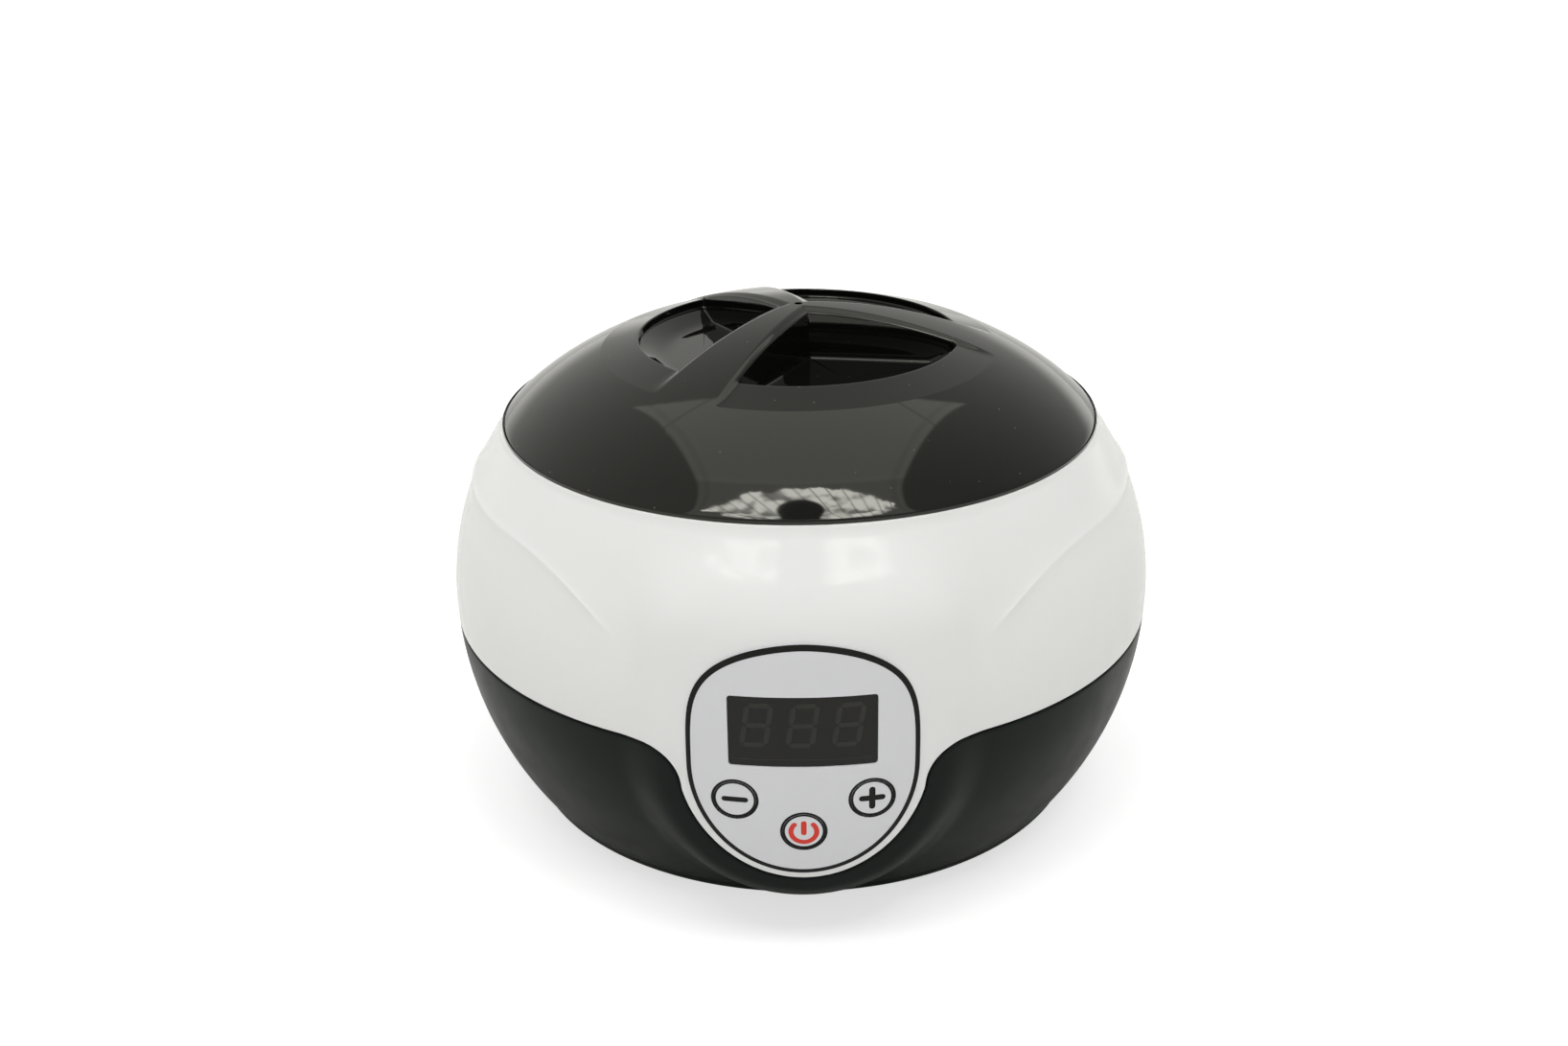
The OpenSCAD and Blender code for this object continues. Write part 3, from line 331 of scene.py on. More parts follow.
# Materials: two colours to lie between, then the least and the most roughness
PLASTICS = {
    "white_shell": ((0.865, 0.873, 0.885), (0.885, 0.893, 0.905), (0.03, 0.06)),
    "black_base": ((0.007, 0.01, 0.009), (0.009, 0.0125, 0.0115), (0.3, 0.4)),
    "lid_black": ((0.0035, 0.0036, 0.0032), (0.0048, 0.0048, 0.0042), (0.03, 0.06)),
    "panel_film": ((0.725, 0.73, 0.775), (0.745, 0.75, 0.795), (0.28, 0.34)),
    "print_black": ((0.005, 0.005, 0.0047), (0.007, 0.007, 0.0066), (0.3, 0.38)),
    "print_red": ((0.66, 0.022, 0.008), (0.74, 0.03, 0.012), (0.3, 0.38)),
    "smoked_lens": ((0.007, 0.007, 0.006), (0.009, 0.009, 0.0075), (0.08, 0.12)),
    "unlit_segment": ((0.0165, 0.0165, 0.014), (0.0185, 0.0185, 0.016), (0.12, 0.16)),
    "rubber_feet": ((0.016, 0.016, 0.016), (0.024, 0.024, 0.024), (0.7, 0.85)),
    "inner_plastic": ((0.6, 0.6, 0.57), (0.66, 0.66, 0.63), (0.35, 0.45)),
    "green_board": ((0.012, 0.09, 0.03), (0.018, 0.12, 0.045), (0.25, 0.35)),
    "tan_board": ((0.25, 0.14, 0.045), (0.32, 0.19, 0.07), (0.5, 0.6)),
    "dark_component": ((0.02, 0.02, 0.021), (0.03, 0.03, 0.031), (0.4, 0.5)),
    "ribbon_grey": ((0.3, 0.31, 0.33), (0.36, 0.37, 0.39), (0.4, 0.5)),
    "silicone_red": ((0.32, 0.05, 0.025), (0.4, 0.07, 0.03), (0.5, 0.6)),
    "heater_film": ((0.3, 0.09, 0.02), (0.38, 0.13, 0.03), (0.25, 0.35)),
    "glass_wool": ((0.62, 0.6, 0.5), (0.75, 0.73, 0.64), (0.85, 0.95)),
    "ceramic_white": ((0.65, 0.62, 0.53), (0.72, 0.69, 0.6), (0.3, 0.4)),
    "winding_tape": ((0.6, 0.38, 0.02), (0.68, 0.45, 0.04), (0.3, 0.4)),
    "relay_blue": ((0.01, 0.06, 0.3), (0.015, 0.08, 0.36), (0.25, 0.35)),
    "fuse_glass": ((0.55, 0.57, 0.56), (0.65, 0.67, 0.66), (0.08, 0.14)),
    "inlet_black": ((0.012, 0.012, 0.012), (0.017, 0.017, 0.017), (0.4, 0.5)),
    "wire_brown": ((0.1, 0.04, 0.015), (0.13, 0.055, 0.02), (0.4, 0.5)),
    "wire_white": ((0.62, 0.62, 0.58), (0.7, 0.7, 0.66), (0.45, 0.55)),
    "grip_black": ((0.014, 0.014, 0.014), (0.02, 0.02, 0.02), (0.45, 0.6)),
}
METALS = {
    "screw_steel": ((0.5, 0.51, 0.52), (0.62, 0.63, 0.64), (0.25, 0.4)),
    "well_aluminium": ((0.62, 0.63, 0.64), (0.74, 0.75, 0.76), (0.28, 0.42)),
    "pot_aluminium": ((0.68, 0.69, 0.7), (0.8, 0.81, 0.82), (0.24, 0.36)),
    "bail_steel": ((0.55, 0.56, 0.57), (0.64, 0.65, 0.66), (0.14, 0.24)),
    "plated_brass": ((0.66, 0.65, 0.6), (0.75, 0.74, 0.7), (0.15, 0.25)),
}
# How much light a plastic gives back, where it isn't the usual half
LEVELS = {"white_shell": 0.13, "black_base": 0.1, "lid_black": 0.54, "print_black": 0.2,
          "smoked_lens": 0.3, "unlit_segment": 0.35}
# Strength and scale of a plastic's grain
GRAINS = {"black_base": (0.06, 3000.0), "panel_film": (0.12, 4000.0), "rubber_feet": (0.4, 1800.0),
          "glass_wool": (0.8, 900.0), "inlet_black": (0.2, 2500.0), "grip_black": (0.3, 1500.0)}
# Noise: scale, detail and stretch
CLOUD, WEAR, MARKS, GRAIN_DETAIL = (25.0, 3.0), (90.0, 6.0), (60.0, 5.0, (1, 1, 40)), 2.0
GRAIN_M, MARK_STRENGTH, MARK_M = 0.00005, 0.12, 0.00004
LID_GLEAM, DUST_RGB = (1, 1, 0.94), (0.5, 0.48, 0.44)
DUST_CELLS, DUST_SPECK, DUST_SHARE, DUST_AMOUNT = 900.0, (0.05, 0.22), 0.014, 0.3


def new_material(name):
    """A node material with one Principled shader, and the inputs of that."""
    material = bpy.data.materials.new(name)
    material.use_nodes = True
    return material, material.node_tree, material.node_tree.nodes["Principled BSDF"].inputs


def bump(tree, height, strength, distance):
    node = add_node(tree, "Bump", {"Height": height, "Strength": strength, "Distance": distance})
    return node.outputs["Normal"]


def plastic(name):
    """Moulded plastic: a faint cloud in its colour, uneven gloss and perhaps a fine grain."""
    low, high, rough = PLASTICS[name]
    material, tree, shader = new_material(name)
    feed(shader["Base Color"], noise(tree, *CLOUD).tint(low, high))
    feed(shader["Roughness"], noise(tree, *WEAR).spread(*rough))
    shader["Specular IOR Level"].default_value = LEVELS.get(name, 0.5)
    if name in GRAINS:
        strength, scale = GRAINS[name]
        feed(shader["Normal"], bump(tree, noise(tree, scale, GRAIN_DETAIL), strength, GRAIN_M))
    return material


def metal(name):
    """Metal with fine drawn or brushed marks across one axis."""
    low, high, rough = METALS[name]
    material, tree, shader = new_material(name)
    marks = noise(tree, *MARKS)
    feed(shader["Base Color"], marks.tint(low, high))
    feed(shader["Roughness"], marks.spread(*rough))
    shader["Metallic"].default_value = 1
    feed(shader["Normal"], bump(tree, marks, MARK_STRENGTH, MARK_M))
    return material


def finish_lid(material):
    """Gives the lid's gloss its slight warmth and sparse dust specks."""
    tree = material.node_tree
    shader = tree.nodes["Principled BSDF"].inputs
    shader["Specular Tint"].default_value = (*LID_GLEAM, 1)
    where = add_node(tree, "TexCoord").outputs["Object"]
    cells = add_node(tree, "TexVoronoi", {"Vector": where, "Scale": DUST_CELLS}).outputs
    draw = add_node(tree, "SeparateColor", {"Color": cells["Color"]}).outputs["Red"]
    dust = Value(cells["Distance"]).spread(1.0, 0.0, *DUST_SPECK)
    dust = dust * Value(draw).calc("LESS_THAN", DUST_SHARE) * DUST_AMOUNT
    clean = shader["Base Color"].links[0].from_socket
    feed(shader["Base Color"], dust.tint(clean, DUST_RGB))


def make_materials():
    made = {name: plastic(name) for name in PLASTICS}
    made.update({name: metal(name) for name in METALS})
    finish_lid(made["lid_black"])
    return made


looks = make_materials()


# Mesh helpers
SHARP_EDGE, FINE_SHARP_EDGE, BEVEL_EDGE, BEVEL_STEPS, WELD_REACH, TINY = 35.0, 30.0, 40.0, 2, 0.01, 1e-6
SQUARE = np.array([(-1, -1), (1, -1), (1, 1), (-1, 1)])


def full_turn(n):
    return np.linspace(0, 2 * np.pi, n, endpoint=False)


def spokes(angles):
    """Unit vectors in a plane."""
    return np.stack([np.cos(angles), np.sin(angles)], -1)


def at_height(outline, z):
    return np.column_stack([outline, z * np.ones(len(outline))])


def rounding(*degrees):
    """Sine and 1 - cosine of angles, for the points of a rounding."""
    return [(math.sin(t), 1 - math.cos(t)) for t in map(math.radians, degrees)]


def ring_faces(rows, n, closed_rows):
    """Quads of a grid of rings that are closed along themselves."""
    j = np.arange(rows if closed_rows else rows - 1)[:, None] * n
    k = ((np.arange(len(j)) + 1) % rows)[:, None] * n
    i = np.arange(n)[None, :]
    m = (i + 1) % n
    return np.stack([j + i, j + m, k + m, k + i], -1).reshape(-1, 4).tolist()


def add_mesh(name, points, faces):
    """A mesh object from points in millimetres."""
    mesh = bpy.data.meshes.new(name)
    mesh.from_pydata((np.asarray(points, float) * MM).tolist(), [], faces)
    made = bpy.data.objects.new(name, mesh)
    bpy.context.scene.collection.objects.link(made)
    return made


def make_piece(name, points, faces, body, look, stands_for=(), sharp=SHARP_EDGE):
    """A mesh piece that rides on a body and may stand for CAD nodes."""
    piece = add_mesh(name, points, faces)
    piece.data.validate()
    smooth(piece.data, sharp)
    piece.data.materials.append(looks[look])
    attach(piece, body)
    if stands_for:
        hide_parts(*stands_for)
    return piece


def smooth(mesh, sharp):
    """Smooth shading, apart from edges that turn more than an angle."""
    mesh.shade_smooth()
    mesh.set_sharp_from_angle(angle=math.radians(sharp))


def outward(points, faces):
    """The faces, turned round if the closed mesh is inside out."""
    p = np.asarray(points, float)
    total = 0.0
    for f in faces:
        for i in range(1, len(f) - 1):
            total += np.dot(p[f[0]], np.cross(p[f[i]], p[f[i + 1]]))
    return faces if total > 0 else [list(reversed(f)) for f in faces]


def bevel(piece, width):
    modifier = piece.modifiers.new("edge", "BEVEL")
    modifier.width = width * MM
    modifier.segments = BEVEL_STEPS
    modifier.limit_method = "ANGLE"
    modifier.angle_limit = math.radians(BEVEL_EDGE)
    modifier.harden_normals = True


def cut(piece, blocks):
    """Takes closed blocks away from a piece."""
    points, faces, count = [], [], 0
    for corners, sides in blocks:
        points.append(corners)
        faces += [[count + i for i in f] for f in outward(corners, sides)]
        count += len(corners)
    cutter = add_mesh("cutter", np.concatenate(points), faces)
    modifier = piece.modifiers.new("openings", "BOOLEAN")
    modifier.operation, modifier.solver, modifier.object = "DIFFERENCE", "EXACT", cutter
    made = bpy.data.meshes.new_from_object(piece.evaluated_get(bpy.context.evaluated_depsgraph_get()))
    piece.modifiers.clear()
    old, piece.data = piece.data, made
    bpy.data.meshes.remove(old)
    bpy.data.objects.remove(cutter)
    made.name = piece.name
    smooth(made, SHARP_EDGE)


def block(outline, z0, z1):
    """Corners and faces of an upright block, for cutting."""
    n = len(outline)
    ends = np.concatenate([at_height(outline, z) for z in (z0, z1)])
    return ends, ring_faces(2, n, False) + [list(range(n))[::-1], list(range(n, 2 * n))]


def weld(piece, distance):
    """Joins points that lie together and turns all faces outwards."""
    shape = bmesh.new()
    shape.from_mesh(piece.data)
    bmesh.ops.remove_doubles(shape, verts=shape.verts, dist=distance * MM)
    bmesh.ops.recalc_face_normals(shape, faces=shape.faces)
    shape.to_mesh(piece.data)
    shape.free()
    smooth(piece.data, FINE_SHARP_EDGE)


# Housing: rings of points that follow the parting line and run out to level circles
FINE_STEPS, FRONT_STEP, BACK_STEP, STEP_FADE, STEP_FADE_W, TOP_CROWD = 40001, 0.9, 3.2, 35, 50, 0.35


def seam_columns():
    """Angles of the points along the parting line, closer round the panel, and above or below it."""
    a = np.linspace(0, np.pi, FINE_STEPS)
    z = seam_at(a)
    length = np.concatenate([[0], np.cumsum(np.hypot(BELLY_R * np.diff(a), np.diff(z)))])
    step = FRONT_STEP + (BACK_STEP - FRONT_STEP) * ease((np.degrees(a) - STEP_FADE) / STEP_FADE_W)
    count = np.concatenate([[0], np.cumsum(np.diff(length) / step[1:])])
    half = np.interp(np.linspace(0, count[-1], int(count[-1]) + 1), count, a)
    top = np.linspace(0, np.pi, len(half))
    top = half * TOP_CROWD + top * (1 - TOP_CROWD)
    return np.concatenate([half[:-1], -half[:0:-1]]), np.concatenate([top[:-1], -top[:0:-1]])


def seam_normal(a):
    """Unit normal of the parting line, upwards, in millimetres along the wall and up."""
    z = seam_at(a)
    dx = BELLY_R * ((np.roll(a, -1) - np.roll(a, 1)) % (2 * np.pi))
    dz = np.roll(z, -1) - np.roll(z, 1)
    return -dz / np.hypot(dx, dz), dx / np.hypot(dx, dz)


def place(a, r, z):
    """Points from angles from the front, radii and heights."""
    return np.stack([r * np.sin(a), -r * np.cos(a), z * np.ones_like(a)], -1)


def seam_line(a, offset):
    """Angles and heights beside the parting line, offset up the wall from it."""
    nx, nz = seam_normal(a)
    return a + nx * offset / BELLY_R, seam_at(a) + nz * offset


def seam_ring(a, offset, inset=0.0):
    """Ring beside the parting line, inset from the outside."""
    b, z = seam_line(a, offset)
    return place(b, shell_r(b, z) - inset, z)


def wall_rings(start, end, shares, inset=0.0):
    """Rings on the wall from one line of angles and heights to another."""
    rings = []
    for share in shares:
        b = start[0] + (end[0] - start[0]) * ease(share)
        z = start[1] + (end[1] - start[1]) * share
        rings.append(place(b, shell_r(b, z) - inset, z))
    return rings


def upper_rings():
    a, top = seam_columns()
    rings = [seam_ring(a, 0, LAP_DEEP), seam_ring(a, 0, SEAM_EDGE)]
    rings += [seam_ring(a, SEAM_EDGE * back, SEAM_EDGE * (1 - out)) for out, back in rounding(30, 60, 90)]
    line_z = shoulder_line(top)
    rings += wall_rings(seam_line(a, UPPER_START), (top, line_z - CREST_DOWN), np.linspace(0, 1, 46))
    rings += [place(top, shell_r(top, line_z + off), line_z + off) for off in CREST_ROWS]
    side_z = RIM_Z - RIM_EDGE
    rings += wall_rings((top, line_z + CREST_UP), (top, side_z), np.linspace(0, 1, 15)[1:])
    side_r = float(body_r(side_z))
    level = [(side_r - RIM_EDGE * back, side_z + RIM_EDGE * up) for up, back in rounding(20, 40, 60, 80, 90)]
    edge, foot = COLLAR_EDGE * ROUND_MIDDLE, COLLAR_FOOT * ROUND_MIDDLE
    under = DECK_Z - DECK_T
    level += [(COLLAR_R + COLLAR_EDGE, RIM_Z), (COLLAR_R + edge, RIM_Z - edge),
              (COLLAR_R, RIM_Z - COLLAR_EDGE), (COLLAR_R, DECK_Z + COLLAR_FOOT),
              (COLLAR_R - foot, DECK_Z + foot), (COLLAR_R - COLLAR_FOOT, DECK_Z),
              (HOLE_R + HOLE_EDGE, DECK_Z), (HOLE_R, DECK_Z - HOLE_EDGE), (HOLE_R, under)]
    rings += [place(top, r * np.ones_like(top), z) for r, z in level]
    rings += wall_rings((top, under), seam_line(a, LAP_ROOM_H), np.linspace(0, 1, 14), WALL)
    rings.append(seam_ring(a, LAP_ROOM_H, LAP_DEEP))
    return rings


def add_upper_shell():
    rings = upper_rings()
    points = np.concatenate(rings)
    faces = outward(points, ring_faces(len(rings), len(rings[0]), True))
    piece = make_piece("upper_shell", points, faces, "housing", "white_shell", ["upper_housing"])
    for reach, low in ((STEM_BORE, -2 * WALL), (WELL_R, -KEY_SINK)):
        cut(piece, [plate_mesh([circle(x, z, reach)], low, CUT_OVER) for x, z in KEYS.values()])


def lower_rings():
    a, low = seam_columns()
    foot_z = BASE_Z + FOOT_H
    flat_r = float(body_r(foot_z)) - FOOT_IN
    outside = [place(low, (flat_r - FOOT_FLAT) * np.ones_like(low), BASE_Z)]
    for out, up in rounding(*np.linspace(0, 90, 9)):
        outside.append(place(low, flat_r + (shell_r(low, foot_z) - flat_r) * out, BASE_Z + FOOT_H * up))
    top = seam_line(a, -SEAM_GAP - LOWER_START)
    outside += wall_rings((low, foot_z), top, np.linspace(0, 1, 48)[1:])
    for up, back in rounding(0, 30, 60, 90):
        outside.append(seam_ring(a, -SEAM_GAP - SEAM_EDGE * (1 - up), SEAM_EDGE * back))
    lap = [seam_ring(a, offset, LAP_DEEP + LAP_PLAY) for offset in (-SEAM_GAP, LAP_H)]
    floor_z = BASE_Z + WALL
    inside = wall_rings((low, floor_z + FOOT_H), seam_line(a, LAP_H), np.linspace(1, 0, 14), WALL)
    inside.append(place(low, (flat_r - WALL) * np.ones_like(low), floor_z))
    return outside + lap + inside


def add_lower_shell():
    rings = lower_rings()
    n = len(rings[0])
    points = np.concatenate(rings)
    faces = ring_faces(len(rings), n, False)
    last = (len(rings) - 1) * n
    faces += [list(range(n))[::-1], [last + i for i in range(n)]]
    piece = make_piece("lower_shell", points, outward(points, faces), "housing", "black_base",
                       ["lower_housing"])
    cut(piece, lower_cutters())
    add_bosses()


def boss_places():
    """Where the housing screws run."""
    at = (HOLE_R + BOSS_REACH) / math.sqrt(2)
    return [(sx * at, sy * at) for sx in (-1, 1) for sy in (-1, 1)]


def lower_cutters():
    """Screw recesses, air slots and the inlet's opening."""
    blocks = [block(circle(x, y, RECESS_R, BOSS_SIDES), -CUT_OVER, RECESS_DEEP) for x, y in boss_places()]
    slot = SQUARE * (SLOT_W / 2, SLOT_L / 2)
    for i in range(SLOTS):
        at = (SLOT_PITCH * (i - (SLOTS - 1) / 2), SLOT_Y)
        blocks.append(block(at + slot, BASE_Z - 2 * WALL, BASE_Z + 2 * WALL))
    seat = float(body_r(INLET_Z)) - INLET_SINK
    opening = (0, seat + INLET_CUT / 2) + SQUARE * (INLET_W / 2 + INLET_PLAY, INLET_CUT / 2)
    half_h = INLET_H / 2 + INLET_PLAY
    blocks.append(block(opening, INLET_Z - half_h, INLET_Z + half_h))
    return blocks


def add_bosses():
    """Screw tubes that stand on the lower shell's floor."""
    floor = BASE_Z + WALL - BOSS_SINK
    rows = [(RECESS_R, floor), (BOSS_R, floor), (BOSS_R, BOSS_TOP), (BOSS_BORE, BOSS_TOP),
            (BOSS_BORE, RECESS_DEEP), (RECESS_R, RECESS_DEEP)]
    points, faces = [], []
    for i, (x, y) in enumerate(boss_places()):
        tube = np.concatenate([at_height(circle(x, y, r, BOSS_SIDES), z) for r, z in rows])
        sides = outward(tube, ring_faces(len(rows), BOSS_SIDES, True))
        points.append(tube)
        faces += [[i * len(tube) + k for k in f] for f in sides]
    make_piece("screw_bosses", np.concatenate(points), faces, "housing", "black_base")


# Lid: each third is a grid of rings from a pocket's middle to the third's edge
N_CORNER, N_FLANK, N_ARC = 9, 34, 48
THIRD_R = 57.0
THIRD_TURNS = [-60 + LID_TURN + 120 * k for k in range(3)]
MIRROR = np.array([1, -1])
FLANK_T = np.linspace(0, 1, N_FLANK + 2)[1:-1, None]
POCKET_MIDDLE = np.array([24.0, 0.0])
FLOOR_TOP = float(dome(0)) - POCKET_DROP
# The pocket's middle is a small ring, because a ring can't be a point
PINCH = 0.001
# 1 where a pocket's wall leans back, 0 on its outer arc
LEAN = np.concatenate([np.ones(N_CORNER + N_FLANK), np.linspace(1, 0, N_CORNER), np.zeros(N_ARC),
                       np.linspace(0, 1, N_CORNER), np.ones(N_FLANK)])


def mirrored(start, flank, far, arc_r, arc_end):
    """Closes an outline: its start, one flank and far corner, the arc, and those two mirrored."""
    arc = arc_r * spokes(np.linspace(arc_end, -arc_end, N_ARC + 2)[1:-1])
    return np.concatenate([start, flank, far, arc, far[::-1] * MIRROR, flank[::-1] * MIRROR])


def corner_curve(before, corner, after):
    """Round corner as a quadratic curve."""
    t = np.linspace(0, 1, N_CORNER)[:, None]
    return (1 - t) ** 2 * before + 2 * t * (1 - t) * corner + t**2 * after


def third_curve(apex, half, arc_r, apex_round, corner_round):
    """Rounded triangle with its corner near the hub and an arc outside, going round with the clock."""
    d = spokes(math.radians(half))
    tip = np.array([apex, 0.0])
    reach = -tip @ d + math.sqrt((tip @ d) ** 2 + arc_r**2 - apex**2)
    far = tip + d * reach
    start_arc = math.atan2(far[1], far[0]) - corner_round / arc_r
    tip_curve = corner_curve(tip + d * MIRROR * apex_round, tip, tip + d * apex_round)
    flank_end = far - d * corner_round
    flank = (tip + d * apex_round) * (1 - FLANK_T) + flank_end * FLANK_T
    far_curve = corner_curve(flank_end, far, arc_r * spokes(start_arc))
    return mirrored(tip_curve, flank, far_curve, arc_r, start_arc)


def third_edge():
    """Edge of one third of the lid: round the vent, out along a rib, and along an arc."""
    vent = VENT_R * spokes(np.linspace(-np.pi / 3, np.pi / 3, N_CORNER))
    d = np.array([0.5, math.sqrt(3) / 2])
    flank_end = THIRD_R - THIRD_ROUND
    flank = d * (VENT_R * (1 - FLANK_T) + flank_end * FLANK_T)
    half_n = N_CORNER // 2
    on_flank = d * np.linspace(flank_end, THIRD_R, half_n + 1)[:, None]
    end = np.pi / 3 - THIRD_ROUND / THIRD_R
    on_arc = np.linspace(np.pi / 3, end, half_n + 1)[1:]
    return mirrored(vent, flank, np.concatenate([on_flank, THIRD_R * spokes(on_arc)]), THIRD_R, end)


def clock_normal(curve):
    """Outward unit normals of a closed curve that goes round with the clock."""
    d = np.roll(curve, -1, 0) - np.roll(curve, 1, 0)
    n = np.stack([-d[:, 1], d[:, 0]], -1)
    return n / np.linalg.norm(n, axis=1)[:, None]


def floor_z(r):
    """Pocket floor: level, then a ramp towards its outer edge."""
    return FLOOR_TOP + RAMP_RISE * clamp01((r - (POCKET_R - RAMP_W)) / (RAMP_W - RAMP_END))


def lid_third_top():
    """Rings of one third's outside, from the pocket's middle out to the third's edge."""
    pocket = third_curve(POCKET_APEX, POCKET_SPREAD, POCKET_R, *POCKET_ROUND)
    rib_angle = 60 - math.degrees(math.atan(RIB_FLARE))
    field = third_curve(RIB_HALF / math.sin(math.radians(60)), rib_angle, FIELD_R, *FIELD_ROUND)
    edge = third_edge()
    out = clock_normal(pocket)
    out_field = clock_normal(field)
    lean = (LEAN * math.tan(math.radians(POCKET_DRAFT)))[:, None]
    rings = []

    def wall_at(z):
        """The wall's outline at heights; it is drawn where the dome's top would be."""
        return pocket - out * lean * (float(dome(0)) - z)[:, None]

    floor_edge = wall_at(floor_z(radius(pocket))) - out * FOOT_FILLET
    for share in (PINCH, 0.15, 0.3, 0.45, 0.6, 0.7, 0.8, 0.88, 0.95, 1.0):
        xy = POCKET_MIDDLE + (floor_edge - POCKET_MIDDLE) * share
        rings.append(at_height(xy, floor_z(radius(xy))))
    low = floor_z(radius(floor_edge))
    for side, up in rounding(30, 60, 90):
        rings.append(at_height(floor_edge + out * FOOT_FILLET * side, low + FOOT_FILLET * up))
    low = low + FOOT_FILLET
    high = lid_top(wall_at(lid_top(pocket)) + out * RIM_FILLET) - RIM_FILLET
    for share in (0.02, 0.2, 0.4, 0.6, 0.8, 0.97, 1.0):
        z = low + (high - low) * share
        rings.append(at_height(wall_at(z), z))
    start = wall_at(high)
    for up, back in rounding(22, 45, 67, 90):
        xy = start + out * RIM_FILLET * back
        rings.append(at_height(xy, lid_top(xy) - RIM_FILLET * (1 - up)))
    start = start + out * RIM_FILLET
    inner, outer = field - out_field * FIELD_CREASE, field + out_field * FIELD_CREASE
    outlines = [start + (inner - start) * share for share in np.linspace(0, 1, 19)[1:]]
    outlines += [field + out_field * FIELD_CREASE * share for share in (-0.5, 0, 0.5, 1)]
    outlines += [outer + (edge - outer) * share for share in np.linspace(0, 1, 8)[1:]]
    return rings + [at_height(xy, lid_top(xy)) for xy in outlines]


def lid_third_under():
    """Rings of one third's underside, from the third's edge in to under the pocket."""
    apex = POCKET_APEX - POCKET_WALL / math.sin(math.radians(POCKET_SPREAD))
    under = third_curve(apex, POCKET_SPREAD, POCKET_R + POCKET_WALL, *UNDER_ROUND)
    edge = third_edge()
    rings = []
    for share in (0.0, 0.3, 0.6, 0.9, 1.0):
        xy = edge + (under - edge) * share
        rings.append(at_height(xy, lid_top(xy) - LID_WALL))
    low = floor_z(radius(under)) - POCKET_WALL
    top = lid_top(under) - LID_WALL
    for share in (0.15, 0.5, 0.85, 1.0):
        rings.append(at_height(under, top + (low - top) * share))
    for share in (0.95, 0.88, 0.8, 0.6, 0.3, PINCH):
        xy = POCKET_MIDDLE + (under - POCKET_MIDDLE) * share
        rings.append(at_height(xy, floor_z(radius(xy)) - POCKET_WALL))
    return rings


def turned(points, degrees):
    c, s = spokes(math.radians(degrees))
    x, y, z = points.T
    return np.column_stack([x * c - y * s, x * s + y * c, z])


def round_all(angles):
    """One third's angles, repeated for all three."""
    return np.concatenate([angles + math.radians(turn) for turn in THIRD_TURNS])


def arc_angles():
    """Angles of the points on one third's outer arc."""
    edge = third_edge()
    on = np.abs(radius(edge) - THIRD_R) < TINY
    return np.sort(np.unique(np.round(np.arctan2(edge[on, 1], edge[on, 0]), 9)))


def lid_profile():
    """Radius and height of the lid outside its thirds: dome, edge, lip and inside."""
    rows = [(r, float(dome(r))) for r in np.linspace(THIRD_R, LID_R - BRIM_W, 20)]
    edge_z = float(dome(LID_R - BRIM_W))
    lip_z, lip_in = LID_Z - LIP_DEEP, LIP_R - LIP_WALL
    rows += [(LID_R - back, edge_z - down) for back, down in BRIM_TOP]
    rows += [(LID_R - back, LID_Z + up) for back, up in BRIM_FOOT]
    rows += [(LIP_R + LIP_ROUND, LID_Z), (LIP_R, LID_Z - LIP_ROUND), (LIP_R, lip_z + LIP_EDGE),
             (LIP_R - LIP_EDGE, lip_z), (lip_in + LIP_EDGE, lip_z), (lip_in, lip_z + LIP_EDGE)]
    return rows + [(r, float(dome(r)) - LID_WALL) for r in np.linspace(lip_in, THIRD_R, 10)]


def add_lid():
    grids = []
    for turn in THIRD_TURNS:
        for rings in (lid_third_top(), lid_third_under()):
            grids.append([turned(ring, turn) for ring in rings])
    around = round_all(arc_angles()[:-1])
    grids.append([at_height(r * spokes(around), z) for r, z in lid_profile()])
    vent = round_all(np.linspace(-np.pi / 3, np.pi / 3, N_CORNER)[:-1])
    vent_z = float(dome(VENT_R))
    grids.append([at_height(VENT_R * spokes(vent), z) for z in (vent_z, vent_z - LID_WALL)])
    points, faces, count = [], [], 0
    for rings in grids:
        n = len(rings[0])
        points += rings
        faces += [[count + i for i in f] for f in ring_faces(len(rings), n, False)]
        count += n * len(rings)
    piece = make_piece("lid_shell", np.concatenate(points), faces, "lid", "lid_black", ["lid"],
                       FINE_SHARP_EDGE)
    weld(piece, WELD_REACH)


# Plates on the nose's face: flat outlines in width and height, bent over the face
PLATE_GRID, PLATE_STEP, GRID_CLEAR, ARCH_SHARES, HALVINGS = 2.0, 1.2, 0.45, (0.5, 1.6), 40


def face_points(xz, lift):
    x, z = xz[:, 0], xz[:, 1]
    y = face_y(x, z)
    out = np.stack([x / FACE_R, -(y - face_centre(z)) / FACE_R, (z - FACE_Z) / FACE_BOW_R], -1)
    out = out / np.linalg.norm(out, axis=1)[:, None]
    return np.stack([x, -y, z], -1) + out * lift


